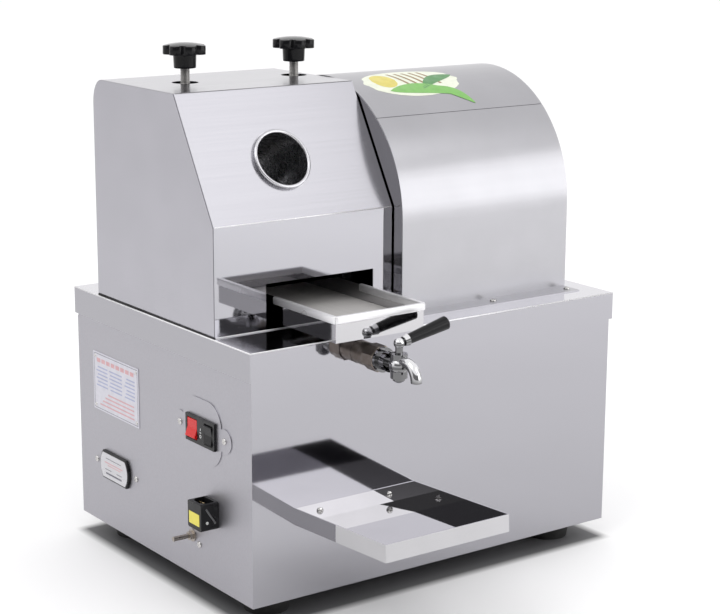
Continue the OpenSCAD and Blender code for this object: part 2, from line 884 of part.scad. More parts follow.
// Thick plate under the lid that carries the stands and the gearbox
module bed_plate() color("dimgray") place() difference() {
    span(
        [stand_x[0] - stand_t / 2 - bed_margin, box_x[1] + bed_margin],
        [roll_y - stand_w / 2 - bed_margin, roll_y + stand_w / 2 + bed_margin],
        bed_z
    );
    gear_slot();
    translate([0, 0, -sheet]) at_frame_bolts() bolt_hole(bed_t);
}
module frame_bolts() color("gray") place() at_frame_bolts() {
    translate([0, 0, -sheet - bed_t - bolt_head_h]) hex(bolt_head_d, bolt_head_h);
    translate([0, 0, -sheet - bed_t - over]) cylinder(d = bolt_d, h = sheet + bed_t + bolt_deep);
}

// Fluted roller on its shaft
module roller(d, i, x_end) {
    rod_x(shaft_d, [shaft_x0, x_end], roll_y, roll_z[i]);
    translate([0, roll_y, roll_z[i]]) along_x(barrel_x) difference() {
        circle(d = d);
        for (k = [0:flute_count - 1]) translate(polar(d / 2, k * 360 / flute_count)) circle(d = flute_d);
    }
}
module main_roller() color("silver") place() roller(roll_d, 1, out_x[1] + shaft_stub);
module top_roller() color("silver") place() roller(roll_top_d, 2, shaft_x1);
module bottom_roller() color("silver") place() roller(roll_d, 0, shaft_x1);

// Gears that turn the rollers together
module sync_gear(i, at) {
    translate([0, roll_y, roll_z[i]]) along_x(sync_x) difference() {
        gear_outline(sync_teeth, sync_mod, at);
        circle(d = shaft_d + 2 * seat);
    }
}
module main_gear() color("darkgray") place() sync_gear(1, sync_up);
module top_gear() color("darkgray") place() sync_gear(2, sync_up + sync_half);
module bottom_gear() color("darkgray") place() sync_gear(0, sync_up + sync_half);

// Bronze bushes
module bush(x, z) difference() {
    rod_x(bush_d, x, roll_y, z);
    rod_x(shaft_d + 2 * fit, [x[0] - over, x[1] + over], roll_y, z);
}
module fixed_bushes() color("peru") place() {
    for (x = stand_x, k = [0, 1]) bush([x - stand_t / 2, x + stand_t / 2], roll_z[k]);
    bush(out_x, roll_z[1]);
}
module top_bushes() color("peru") place() {
    for (x = stand_x) bush([x - stand_t / 2, x + stand_t / 2], roll_z[2]);
}

// Sliding bearing blocks of the top roller
module top_blocks() color("gray") place() for (x = stand_x) difference() {
    span(
        [x - stand_t / 2, x + stand_t / 2],
        [roll_y - block_w / 2, roll_y + block_w / 2],
        [roll_z[2] - block_h / 2, roll_z[2] + block_h / 2]
    );
    rod_x(bush_d + 2 * seat, [x - stand_t, x + stand_t], roll_y, roll_z[2]);
}

// Press screws and their star knobs
module press_screw(i) {
    rod_z(press_d, stand_x[i], roll_y, [roll_z[2] + block_h / 2, knob_top - knob_cap]);
}
module left_press_screw() color("lightgray") place() press_screw(0);
module right_press_screw() color("lightgray") place() press_screw(1);
module star_knob(i) translate([stand_x[i], roll_y, knob_top - knob_t]) difference() {
    union() {
        intersection() {
            linear_extrude(knob_t) star();
            translate([0, 0, -over]) cylinder(d = knob_d + over, h = knob_t - knob_crown + over);
        }
        intersection() {
            linear_extrude(knob_t) star();
            translate([0, 0, knob_t - knob_crown]) dome(knob_d + knob_crown, knob_crown);
        }
        translate([0, 0, -knob_hub])
            cylinder(d1 = knob_hub_d, d2 = knob_hub_d + knob_hub_taper, h = knob_hub + over);
    }
    translate([0, 0, -knob_hub - over])
        cylinder(d = press_d + 2 * seat, h = knob_hub + knob_t - knob_cap + over);
}
module star() {
    lobe_d = knob_d * knob_lobe_share;
    circle(d = knob_d * knob_core_share);
    for (k = [0:knob_lobes - 1]) {
        translate(polar((knob_d - lobe_d) / 2, k * 360 / knob_lobes)) circle(d = lobe_d);
    }
}
module left_knob() color("black") place() star_knob(0);
module right_knob() color("black") place() star_knob(1);

// Curved plate that turns the crushed cane round the middle roller
module turn_plate() color("silver") place() translate([0, roll_y, roll_z[1]]) along_x(stand_in_x) {
    inner = roll_d / 2 + turn_gap;
    reach = 2 * (inner + turn_t);
    difference() {
        intersection() {
            circle(inner + turn_t);
            polygon([[0, 0], polar(reach, -turn_angle), polar(reach, 0), polar(reach, turn_angle)]);
        }
        circle(inner);
    }
}

// Sloping blade that leads the bagasse off the bottom roller
module scraper() color("silver") place() {
    tip = [roll_y - roll_d / 2 - scrape_gap, roll_z[0] + scrape_tip_share * roll_d / 2];
    foot = [pan_jog + scrape_gap, trough_z[0] + pan_h + scrape_gap];
    along_x(stand_in_x) polygon([foot, foot + [0, scrape_t], tip + [0, scrape_t], tip]);
}

// Juice pan: a wide part under the rollers and the trough in front, on two skids
module juice_pan() color("silver") place() {
    difference() {
        union() {
            span(trough_x, [trough_y, pan_jog], trough_z);
            span(pan_x, [pan_jog - pan_t, pan_back], [trough_z[0], trough_z[0] + pan_h]);
            span(
                [trough_x[0] - hem_t, trough_x[1] + hem_t],
                [trough_y - hem_t, head_y[0] - slot_gap],
                [trough_z[1] - hem_h, trough_z[1]]
            );
        }
        span(
            [trough_x[0] + pan_t, trough_x[1] - pan_t],
            [trough_y + pan_t, pan_jog - pan_t],
            [trough_z[0] + pan_t, trough_z[1] + over]
        );
        span(
            [pan_x[0] + pan_t, pan_x[1] - pan_t],
            [pan_jog, pan_back - pan_t],
            [trough_z[0] + pan_t, trough_z[1] + over]
        );
        span(
            [max(pan_x[0], trough_x[0]) + pan_t, min(pan_x[1], trough_x[1]) - pan_t],
            [pan_jog - 2 * pan_t, pan_jog + pan_t],
            [trough_z[0] + pan_t, trough_z[1] + over]
        );
        rod_z(drain_bore, drain_x, drain_y, [trough_z[0] - over, trough_z[0] + pan_t + over]);
    }
    for (s = skid_shares) {
        x = trough_x[0] + s * trough_w;
        span([x - skid_w / 2, x + skid_w / 2], [head_y[0] + skid_w, pan_back - skid_w], [deck, trough_z[0]]);
    }
}

// Loose plate in the trough that the bagasse slides out on
module bagasse_plate() color("darkgray") place() {
    x = [trough_x[0] + pan_t + plate_gap, trough_x[1] - pan_t - plate_gap];
    y = [trough_y + pan_t + plate_gap, pan_jog - pan_t - plate_back_gap];
    z = [trough_z[0] + pan_t, trough_z[0] + pan_t + plate_h];
    difference() {
        span(x, y, z);
        span([x[0] + pan_t, x[1] - pan_t], [y[0] - over, y[1] + over], [z[0] - over, z[1] - pan_t]);
    }
}

// Juice pipe from the pan, under the lid, to the tap
module drain_elbow() color("rosybrown") place() difference() {
    union() {
        rod_z(drain_d, drain_x, drain_y, [drain_z, trough_z[0]]);
        rod_y(drain_d, drain_x, [pipe_end, drain_y], drain_z);
        translate([drain_x, drain_y, drain_z]) sphere(d = drain_d);
    }
    rod_z(drain_bore, drain_x, drain_y, [drain_z, trough_z[0] + over]);
    rod_y(drain_bore, drain_x, [pipe_end - over, drain_y], drain_z);
    translate([drain_x, drain_y, drain_z]) sphere(d = drain_bore);
}

// Tap: flange, nut, neck, upright valve barrel and a bent spout
module tap_body() color("whitesmoke") place() difference() {
    union() {
        rod_y(tap_flange_d, drain_x, [pipe_end - tap_flange_t, pipe_end], drain_z);
        rod_y(tap_nut_d, drain_x, [pipe_end - tap_flange_t - tap_nut_t, pipe_end - tap_flange_t], drain_z);
        rod_y(tap_neck_d, drain_x, [stem_y, pipe_end - tap_flange_t], drain_z);
        rod_z(valve_d, drain_x, stem_y, [drain_z - valve_down, drain_z + valve_up]);
        translate([drain_x, stem_y, drain_z]) sphere(d = valve_belly_d);
        rod_y(spout_d, drain_x, [stem_y - spout_lead, stem_y], spout_z);
        at_spout() spout_bend(spout_d);
        rod_z(spout_d, drain_x, stem_y - spout_lead - spout_r,
            [spout_z - spout_r - spout_tail, spout_z - spout_r]);
    }
    rod_z(plug_d + 2 * fit, drain_x, stem_y,
        [drain_z - valve_down - over, drain_z + valve_up - tap_flange_t]);
    rod_z(stem_d + 2 * fit, drain_x, stem_y, [drain_z, drain_z + valve_up + over]);
    rod_y(port_d, drain_x, [stem_y, pipe_end + over], drain_z);
    rod_y(spout_bore, drain_x, [stem_y - spout_lead, stem_y], spout_z);
    at_spout() spout_bend(spout_bore);
    rod_z(spout_bore, drain_x, stem_y - spout_lead - spout_r,
        [spout_z - spout_r - spout_tail - over, spout_z - spout_r]);
}
module at_spout() {
    translate([drain_x, stem_y - spout_lead, spout_z - spout_r]) rotate([90, 0, -90]) children();
}
module spout_bend(d) rotate_extrude(angle = 90) translate([spout_r, 0]) circle(d = d);

// Plug with a cross port, its stem and the ball that carries the lever
module tap_plug() color("whitesmoke") place() difference() {
    union() {
        rod_z(plug_d, drain_x, stem_y,
            [drain_z - valve_down + hole_gap, drain_z + valve_up - tap_flange_t - hole_gap]);
        rod_z(stem_d, drain_x, stem_y, [drain_z, ball_z]);
        translate([drain_x, stem_y, ball_z]) sphere(d = ball_d);
        at_lever() cylinder(d = tang_d, h = ball_d / 2 + ferrule_len + grip_tang_share * grip_len);
    }
    rod_x(port_d, [drain_x - plug_d, drain_x + plug_d], stem_y, drain_z + port_rise);
}
module at_lever() translate([drain_x, stem_y, ball_z]) rotate([0, 90 - lever_tilt, 0]) children();
module tap_ferrule() color("whitesmoke") place() at_lever() translate([0, 0, ball_d / 2]) difference() {
    cylinder(d1 = ferrule_d - ferrule_taper, d2 = ferrule_d, h = ferrule_len);
    translate([0, 0, -over]) cylinder(d = tang_d + 2 * seat, h = ferrule_len + 2 * over);
}
module tap_grip() color("black") place() at_lever() translate([0, 0, ball_d / 2 + ferrule_len]) difference() {
    union() {
        cylinder(d1 = grip_thin, d2 = grip_thick, h = grip_len - grip_dome);
        translate([0, 0, grip_len - grip_dome]) dome(grip_thick, grip_dome);
    }
    translate([0, 0, -over]) cylinder(d = tang_d + 2 * seat, h = grip_tang_share * grip_len + over);
}
module tap_cap() color("whitesmoke") place() {
    rod_z(tap_cap_d, drain_x, stem_y, [drain_z - valve_down - tap_cap_h / 2, drain_z - valve_down]);
    translate([drain_x, stem_y, drain_z - valve_down - tap_cap_h / 2])
        mirror([0, 0, 1]) dome(tap_cap_d, tap_cap_h / 2);
}

// Open tray under the tap, screwed to the cabinet's front
module drip_tray() color("gainsboro") place() difference() {
    along_x(tray_x) polygon(tray_outline);
    inner = inset(tray_outline, tray_t);
    along_x([tray_x[0] + tray_t, tray_x[1] - tray_t]) polygon([
        inner[0],
        [inner[1][0], tray_z[1] + over],
        [inner[2][0], tray_front[1] + over],
        inner[3]
    ]);
    at_tray_screws() screw_hole();
}

// Arched covers of the drum, in two sheets that meet at a seam
module arch_sector(r0, r1, a0, a1) {
    reach = 2 * r1;
    difference() {
        intersection() {
            circle(r1);
            polygon(concat([[0, 0]], [for (k = [0:4]) polar(reach, a0 + k * (a1 - a0) / 4)]));
        }
        circle(r0);
    }
}
module drum_front_cover() color("silver") place() difference() {
    along_x(drum_x) {
        translate([drum_y, drum_z]) arch_sector(drum_in, drum_r, seam_at + seam_gap_angle / 2, 180);
        translate([drum_y - drum_r, deck]) square([drum_sheet, drum_axis]);
        translate([drum_y - drum_r - flange_w, deck]) square([flange_w + drum_sheet, drum_sheet]);
    }
    at_drum_screws() screw_hole();
}
module drum_top_cover() color("silver") place() {
    along_x(drum_x) {
        translate([drum_y, drum_z]) arch_sector(drum_in, drum_r, 0, seam_at - seam_gap_angle / 2);
        translate([drum_y + drum_in, deck]) square([drum_sheet, drum_axis]);
    }
    along_x([drum_x[0] + 2 * drum_sheet, drum_x[1] - 2 * drum_sheet]) translate([drum_y, drum_z]) {
        arch_sector(drum_in - drum_sheet, drum_in + drum_sheet / 2,
            seam_at - lap_angle, seam_at - seam_gap_angle / 2);
        arch_sector(drum_in - drum_sheet, drum_in - end_gap, seam_at - lap_angle, seam_at + lap_angle);
    }
}

// Flat ends of the drum
module drum_end(x) {
    along_x([x, x + drum_sheet]) translate([drum_y, drum_z]) {
        circle(drum_in - end_gap);
        translate([-drum_in + end_gap, -drum_axis]) square([2 * (drum_in - end_gap), drum_axis]);
    }
}
module drum_left_end() color("gray") place() difference() {
    drum_end(drum_x[0]);
    span([drum_x[0] - over, drum_x[0] + over + drum_sheet], [drum_y - drum_r, drum_y + drum_r], [0, deck]);
    rod_x(shaft_hole, [drum_x[0] - over, drum_x[0] + drum_sheet + over], roll_y, roll_z[1]);
}
module drum_right_end() color("gray") place() difference() {
    drum_end(drum_x[1] - drum_sheet);
    span([drum_x[1] - over - drum_sheet, drum_x[1] + over], [drum_y - drum_r, drum_y + drum_r], [0, deck]);
}

// Bull gear with a webbed wheel, on the main shaft
module bull_gear() color("darkgray") place() translate([0, roll_y, roll_z[1]]) difference() {
    along_x(bull_x) gear_outline(bull_teeth, bull_mod, -90);
    rod_x(shaft_d + 2 * seat, [bull_x[0] - over, bull_x[1] + over], 0, 0);
    side = (bull_w - bull_web) / 2;
    for (x = [[bull_x[0] - over, bull_x[0] + side], [bull_x[1] - side, bull_x[1] + over]]) {
        along_x(x) difference() {
            circle(bull_pitch - bull_rim);
            circle(d = bull_hub_d);
        }
    }
    for (k = [0:bull_holes - 1]) {
        at = polar((bull_pitch - bull_rim + bull_hub_d / 2) / 2, k * 360 / bull_holes);
        rod_x(bull_hole_d, [bull_x[0] - over, bull_x[1] + over], at[0], at[1]);
    }
}

// Pinion and its shaft, on the gearbox
module drive_pinion() color("darkgray") place() translate([0, roll_y, drive_z]) {
    along_x(bull_x) gear_outline(pinion_teeth, bull_mod, 90 + 180 / pinion_teeth);
    rod_x(pinion_shaft, [bull_x[0] - shaft_stub, box_x[0] + pinion_deep], 0, 0);
}
module gearbox() color("dimgray") place() difference() {
    along_x(box_x) translate([roll_y, bed_z[0] - box_low / 2]) round_rect(box_w, box_low, box_r);
    rod_x(pinion_shaft + 2 * fit, [box_x[0] - over, box_x[0] + pinion_deep + over], roll_y, drive_z);
}
module motor() color("steelblue") place() translate([0, roll_y, bed_z[0] - box_low + motor_drop]) {
    along_x([box_x[1], box_x[1] + motor_len]) {
        circle(d = motor_d - 2 * fin_h);
        for (k = [0:motor_fins - 1]) rotate(k * 360 / motor_fins) {
            translate([0, -fin_t / 2]) square([motor_d / 2, fin_t]);
        }
    }
    rod_x(motor_d, [box_x[1] + motor_len, box_x[1] + motor_len + fan_len], 0, 0);
}

// Bare rating plate and its rivets
module rating_plate() color("whitesmoke") place() {
    on_side(rating_y, rating_z, 0, rating_t) square([rating_w, rating_h], center = true);
}
module plate_rivets() color("white") place() for (i = [-1, 1], j = [-1, 1]) {
    translate([
        side_x - rating_t,
        rating_y + i * (rating_w / 2 - rivet_in),
        rating_z + j * (rating_h / 2 - rivet_in)
    ]) rotate([0, -90, 0]) dome(rivet_d, rivet_h);
}

// Thin plate with an ear at each screw
module switch_plate() color("silver") place() difference() {
    on_side(switch_y, switch_z, 0, plate_t) {
        round_rect(switch_plate_w, switch_plate_h, switch_plate_r);
        for (i = [-1, 1]) translate([i * ear_span / 2, 0]) circle(d = ear_d);
        square([ear_span, ear_neck_share * ear_d], center = true);
    }
    translate([side_x - plate_t / 2, switch_y, switch_z])
        cube([plate_t + 2 * over, bezel_w - bezel_rim, bezel_h - bezel_rim], center = true);
    at_switch_screws() screw_hole();
}

// Black housing with two rocker windows
module switch_housing() color("black") place() difference() {
    union() {
        on_side(switch_y, switch_z, plate_t, bezel_t) square([bezel_w, bezel_h], center = true);
        span(
            [side_x - plate_t - over, side_x + switch_deep],
            [switch_y - bezel_w / 2 + bezel_rim, switch_y + bezel_w / 2 - bezel_rim],
            [switch_z - bezel_h / 2 + bezel_rim, switch_z + bezel_h / 2 - bezel_rim]
        );
    }
    for (r = rockers) {
        half = r[1] / 2 + rocker_gap;
        span(
            [side_x - plate_t - bezel_t - over, side_x + switch_deep - switch_wall],
            [r[0] - half, r[0] + half],
            [switch_z - rocker_r - rocker_gap, switch_z + rocker_r + rocker_gap]
        );
        reach = half + rocker_pin_len;
        rod_y(rocker_pin_d + 2 * fit, rocker_x, [r[0] - reach, r[0] + reach], switch_z);
    }
}

// Rocker with a dished face on two short pins
module rocker(y, w, turn) translate([rocker_x, y, switch_z]) rotate([0, turn, 0]) {
    rotate([90, 0, 0]) translate([0, 0, -w / 2]) linear_extrude(w) intersection() {
        circle(rocker_r);
        polygon([
            [rocker_back, -rocker_r],
            [rocker_back, rocker_r],
            [-rocker_flat - rocker_r * tan(rocker_dip), rocker_r],
            [-rocker_flat, 0],
            [-rocker_flat - rocker_r * tan(rocker_dip), -rocker_r]
        ]);
    }
    rod_y(rocker_pin_d, 0, [-w / 2 - rocker_pin_len, w / 2 + rocker_pin_len], 0);
}
module red_rocker() color("red") place() rocker(red_y, red_w, rocker_dip);
module black_rocker() color("black") place() rocker(black_y, black_w, 0);

// Barrel shaped blanking cover
module blank_cover() color("black") place() on_side(cover_y, cover_z, 0, cover_t) {
    r = (cover_h * cover_h / 4 + cover_belly * cover_belly) / (2 * cover_belly);
    square([cover_w - 2 * cover_belly, cover_h], center = true);
    for (i = [-1, 1]) intersection() {
        translate([i * (cover_w / 2 - r), 0]) circle(r);
        square([cover_w, cover_h], center = true);
    }
}

// Power inlet block with a socket that faces up, and its prongs
module power_inlet() color("black") place() difference() {
    union() {
        on_side(inlet_y, inlet_z, 0, inlet_proud) round_rect(inlet_w, inlet_h, inlet_r);
        translate([side_x, inlet_y, inlet_z]) cube(
            [2 * inlet_neck, inlet_w - inlet_neck - hole_gap, inlet_h - inlet_neck - hole_gap],
            center = true
        );
    }
    translate([socket_x, inlet_y, socket_z]) linear_extrude(socket_deep + over) polygon([
        [-socket_w / 2, -socket_h / 2 + socket_cut],
        [-socket_w / 2 + socket_cut, -socket_h / 2],
        [socket_w / 2, -socket_h / 2],
        [socket_w / 2, socket_h / 2],
        [-socket_w / 2 + socket_cut, socket_h / 2],
        [-socket_w / 2, socket_h / 2 - socket_cut]
    ]);
}
module inlet_prongs() color("gold") place() for (i = [-1, 0, 1]) {
    span(
        [socket_x - prong_w / 2, socket_x + prong_w / 2],
        [inlet_y + i * prong_pitch - prong_h / 2, inlet_y + i * prong_pitch + prong_h / 2],
        [socket_z, socket_z + prong_len]
    );
}

// Earth stud with its washer and nuts
module earth_stud() color("lightgray") place() {
    rod_x(stud_d, [side_x - stud_len, side_x - stud_washer_t - stud_nut_h], stud_y, stud_z);
    rod_x(stud_neck_d, [side_x - stud_len, side_x + stud_in], stud_y, stud_z);
    difference() {
        rod_x(stud_washer_d, [side_x - stud_washer_t, side_x], stud_y, stud_z);
        rod_x(stud_neck_d + 2 * seat, [side_x - stud_washer_t - over, side_x + over], stud_y, stud_z);
    }
    for (x = [side_x - stud_washer_t - stud_nut_h, side_x + sheet]) {
        translate([x, stud_y, stud_z]) rotate([0, 90, 0]) nut(stud_nut_d, stud_nut_h, stud_neck_d);
    }
}

cabinet_shell();
back_panel();
bottom_plate();
lid();
rubber_feet();
foot_screws();
panel_screws();
head_cover();
head_left_side();
head_right_side();
feed_tube();
left_stand();
right_stand();
outboard_stand();
tie_bars();
bed_plate();
frame_bolts();
main_roller();
top_roller();
bottom_roller();
main_gear();
top_gear();
bottom_gear();
fixed_bushes();
top_bushes();
top_blocks();
left_press_screw();
right_press_screw();
left_knob();
right_knob();
turn_plate();
scraper();
juice_pan();
bagasse_plate();
drain_elbow();
tap_body();
tap_plug();
tap_ferrule();
tap_grip();
tap_cap();
drip_tray();
drum_front_cover();
drum_top_cover();
drum_left_end();
drum_right_end();
bull_gear();
drive_pinion();
gearbox();
motor();
rating_plate();
plate_rivets();
switch_plate();
switch_housing();
red_rocker();
black_rocker();
blank_cover();
power_inlet();
inlet_prongs();
earth_stud();
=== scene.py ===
"""Looks of the electric sugarcane juicer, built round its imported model, in metres in the row frame."""
import math

import bmesh
import bpy
from mathutils import Matrix, Vector


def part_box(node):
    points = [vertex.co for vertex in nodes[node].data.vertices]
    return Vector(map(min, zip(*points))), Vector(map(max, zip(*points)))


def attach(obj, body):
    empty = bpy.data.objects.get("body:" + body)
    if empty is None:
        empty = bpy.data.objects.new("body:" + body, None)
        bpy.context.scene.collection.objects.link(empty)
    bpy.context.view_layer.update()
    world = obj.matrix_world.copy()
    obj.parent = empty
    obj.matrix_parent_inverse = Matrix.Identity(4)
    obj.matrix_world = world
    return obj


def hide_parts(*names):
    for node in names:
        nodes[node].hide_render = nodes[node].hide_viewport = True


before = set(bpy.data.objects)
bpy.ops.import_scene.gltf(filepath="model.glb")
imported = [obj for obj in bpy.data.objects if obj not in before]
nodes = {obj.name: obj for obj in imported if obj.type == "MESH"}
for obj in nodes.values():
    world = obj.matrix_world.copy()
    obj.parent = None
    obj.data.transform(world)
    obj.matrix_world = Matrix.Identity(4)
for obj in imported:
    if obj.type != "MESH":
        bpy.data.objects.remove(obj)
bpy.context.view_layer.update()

FULL_TURN = 2 * math.pi
MIX_SHARE, MIX_FIRST, MIX_SECOND, MIX_RESULT = 0, 6, 7, 2
# Stretch of a surface's fine texture along x, y and z
EVEN = (1, 1, 1)
ALONG_X = (0.05, 6, 6)
ALONG_Y = (6, 0.05, 6)
TURNED = (20, 1, 1)
# Points nearer than this are one
WELD = 0.00001
# Thickness of printed ink and of the raised marks
INK = 0.0001
MARK = 0.00012
# Height of the head's upright front and depth of its slanted panel
HEAD_FRONT_TALL = 0.1315
HEAD_SLANT_RUN = 0.086
# Radius of the drum, and pitch of the press screws
DRUM_R = 0.167
PRESS_PITCH = 0.00175


def tone(red, green, blue):
    """Linear colour of an 8-bit display colour."""
    def linear(v):
        v = v / 255
        return v / 12.92 if v <= 0.04045 else ((v + 0.055) / 1.055) ** 2.4
    return (linear(red), linear(green), linear(blue), 1.0)


def shaded(color, share):
    """A colour with only a share of its light."""
    return tuple(c * share for c in color[:3]) + (1.0,)


class Graph:
    """The nodes of a material or of the sky."""

    def __init__(self, tree):
        self.tree = tree

    def add(self, kind, **values):
        """A new node with values for its inputs and settings."""
        made = self.tree.nodes.new(kind)
        for key, value in values.items():
            if key in made.inputs:
                made.inputs[key].default_value = value
            else:
                setattr(made, key, value)
        return made

    def join(self, source, target):
        """Links an output to an input."""
        self.tree.links.new(source, target)

    def axes(self, source):
        """X, Y and Z of a vector."""
        split = self.add("ShaderNodeSeparateXYZ")
        self.join(source, split.inputs["Vector"])
        return split.outputs

    def calc(self, operation, *terms):
        """Result of an operation on outputs and plain numbers."""
        made = self.add("ShaderNodeMath", operation=operation)
        for target, term in zip(made.inputs, terms):
            if isinstance(term, bpy.types.NodeSocket):
                self.join(term, target)
            else:
                target.default_value = term
        return made.outputs["Value"]

    def ramp(self, source, low, high, start=0.35, end=0.65, curve="LINEAR"):
        """Runs from low to high while the source goes from start to end."""
        made = self.add("ShaderNodeMapRange", interpolation_type=curve)
        limits = {"From Min": start, "From Max": end, "To Min": low, "To Max": high}
        for key, value in limits.items():
            made.inputs[key].default_value = value
        self.join(source, made.inputs["Value"])
        return made.outputs["Result"]


class Look(Graph):
    """A material under construction: the shader and the nodes that feed it."""

    def __init__(self, name, color, metallic, roughness):
        self.mat = bpy.data.materials.new(name)
        self.mat.use_nodes = True
        super().__init__(self.mat.node_tree)
        self.shader = self.tree.nodes["Principled BSDF"]
        self.color = color
        self.relief = None
        self.put("Base Color", color)
        self.put("Metallic", metallic)
        self.put("Roughness", roughness)

    def put(self, key, value):
        """Sets a plain value of the shader."""
        self.shader.inputs[key].default_value = value

    def noise(self, scale, stretch=EVEN, detail=3.0):
        """Noise over the row frame, in features per metre, stretched along each axis."""
        place = self.add("ShaderNodeTexCoord")
        mapping = self.add("ShaderNodeMapping", Scale=stretch)
        cloud = self.add("ShaderNodeTexNoise", Scale=scale, Detail=detail)
        self.join(place.outputs["Object"], mapping.inputs["Vector"])
        self.join(mapping.outputs["Vector"], cloud.inputs["Vector"])
        return cloud.outputs["Fac"]

    def surface(self, kind):
        """X, Y and Z of the surface's normal or position."""
        return self.axes(self.add("ShaderNodeNewGeometry").outputs[kind])

    def paint(self, share, first, second):
        """Base colour that runs from the first to the second by a share."""
        mix = self.add("ShaderNodeMix", data_type="RGBA")
        mix.inputs[MIX_FIRST].default_value = first
        mix.inputs[MIX_SECOND].default_value = second
        self.join(share, mix.inputs[MIX_SHARE])
        self.join(mix.outputs[MIX_RESULT], self.shader.inputs["Base Color"])

    def tint(self, source, other, share):
        """Takes the base colour some way towards another one by a noise."""
        self.paint(self.ramp(source, 0.0, share), self.color, other)

    def gloss(self, source, low, high):
        """Roughness between two values by a noise."""
        self.join(self.ramp(source, low, high), self.shader.inputs["Roughness"])

    def bump(self, source, depth, strength):
        """Adds relief of a depth in metres to what is there already."""
        made = self.add("ShaderNodeBump", Strength=strength, Distance=depth)
        self.join(source, made.inputs["Height"])
        if self.relief:
            self.join(self.relief, made.inputs["Normal"])
        self.relief = made.outputs["Normal"]
        self.join(self.relief, self.shader.inputs["Normal"])


def sheet_metal(name, color, rough, grain, ripple, relief=0.2, vary=0.2, metallic=1.0):
    """Bright rolled sheet: faint grain along one way, soft ripples and slight smears."""
    look = Look(name, color, metallic, rough)
    fine = look.noise(scale=60, stretch=grain, detail=2.0)
    look.gloss(fine, low=rough * (1 - vary), high=rough * (1 + vary))
    look.tint(look.noise(scale=16, detail=4.0), shaded(color, 0.93), share=0.6)
    look.bump(fine, depth=0.000002, strength=relief)
    look.bump(look.noise(scale=5, detail=1.0), depth=ripple, strength=0.6)
    return look.mat


def by_face(name, axis, plain, other):
    """Sheet metal with another colour and roughness on faces square to an axis; the other colour is
    painted light on those faces.
    """
    plain_color, plain_rough = plain
    painted_light_color, other_rough = other
    look = Look(name, plain_color, metallic=1.0, roughness=plain_rough)
    fine = look.noise(scale=60, stretch=ALONG_X, detail=2.0)
    square = look.calc("ABSOLUTE", look.surface("Normal")[axis])
    share = look.ramp(square, 0.0, 1.0, start=0.9, end=0.98)
    mix = look.add("ShaderNodeMix")
    look.join(share, mix.inputs["Factor"])
    look.join(look.ramp(fine, plain_rough * 0.95, plain_rough * 1.06), mix.inputs["A"])
    look.join(look.ramp(fine, other_rough * 0.92, other_rough * 1.08), mix.inputs["B"])
    look.join(mix.outputs["Result"], look.shader.inputs["Roughness"])
    # Painted light: the other colour on faces square to the axis
    look.paint(share, plain_color, painted_light_color)
    look.bump(look.noise(scale=5, detail=1.0), depth=0.00012, strength=0.6)
    return look.mat


def even_metal(name, color, rough):
    """Metal with broad, faint changes of colour and gloss, for narrow folds; the pale one paints a
    highlight on them and the dark one paints shade.
    """
    look = Look(name, color, metallic=0.55, roughness=rough)
    look.gloss(look.noise(scale=20, detail=2.0), low=rough * 0.9, high=rough * 1.15)
    look.tint(look.noise(scale=12, detail=3.0), shaded(color, 0.93), share=0.6)
    return look.mat


def chrome_with_painted_reflection():
    """Chrome with a painted reflection: the base colour is banded from faces that look down to faces
    that look up, darkest near sideways and brightest facing up.
    """
    look = Look("chrome_painted_reflection", (0.62, 0.62, 0.635, 1.0), metallic=1.0, roughness=0.06)
    # Painted reflection: grey level of the base colour at each share from facing down to facing up
    steps = (
        (0.0, 0.34),
        (0.3, 0.3),
        (0.42, 0.1),
        (0.5, 0.16),
        (0.58, 0.55),
        (0.75, 0.72),
        (1.0, 0.74),
    )
    blue_gain = 1.02
    reflection_bands = look.add("ShaderNodeValToRGB")
    stops = reflection_bands.color_ramp.elements
    while len(stops) < len(steps):
        stops.new(0.5)
    for stop, (place, level) in zip(stops, steps):
        stop.position = place
        stop.color = (level, level, level * blue_gain, 1.0)
    upward = look.ramp(look.surface("Normal")["Z"], 0.0, 1.0, start=-1.0, end=1.0)
    look.join(upward, reflection_bands.inputs["Fac"])
    look.join(reflection_bands.outputs["Color"], look.shader.inputs["Base Color"])
    look.gloss(look.noise(scale=90, detail=4.0), low=0.04, high=0.12)
    look.bump(look.noise(scale=40, detail=1.0), depth=0.00008, strength=0.25)
    return look.mat


def pipe():
    """Dull brownish pipe steel with stains."""
    look = Look("pipe_steel", (0.25, 0.21, 0.18, 1.0), metallic=1.0, roughness=0.35)
    look.tint(look.noise(scale=70, detail=5.0), (0.36, 0.32, 0.285, 1.0), share=0.8)
    look.gloss(look.noise(scale=200, detail=4.0), low=0.28, high=0.5)
    look.bump(look.noise(scale=350, detail=3.0), depth=0.0001, strength=0.4)
    return look.mat


def turned(name, color, rough):
    """Machined steel with fine turning lines."""
    look = Look(name, color, metallic=1.0, roughness=rough)
    lines = look.noise(scale=120, stretch=TURNED, detail=3.0)
    look.gloss(lines, low=rough * 0.75, high=rough * 1.3)
    look.bump(look.noise(scale=150, stretch=TURNED, detail=2.0), depth=0.00002, strength=0.5)
    look.tint(look.noise(scale=25, detail=4.0), shaded(color, 0.8), share=0.5)
    return look.mat


def oiled(name, color, rough):
    """Darker machined steel with oil films and stains."""
    look = Look(name, color, metallic=1.0, roughness=rough)
    look.tint(look.noise(scale=35, detail=5.0), shaded(color, 0.55), share=0.7)
    look.gloss(look.noise(scale=60, detail=4.0), low=rough * 0.6, high=rough * 1.4)
    look.bump(look.noise(scale=400, detail=2.0), depth=0.00005, strength=0.4)
    return look.mat


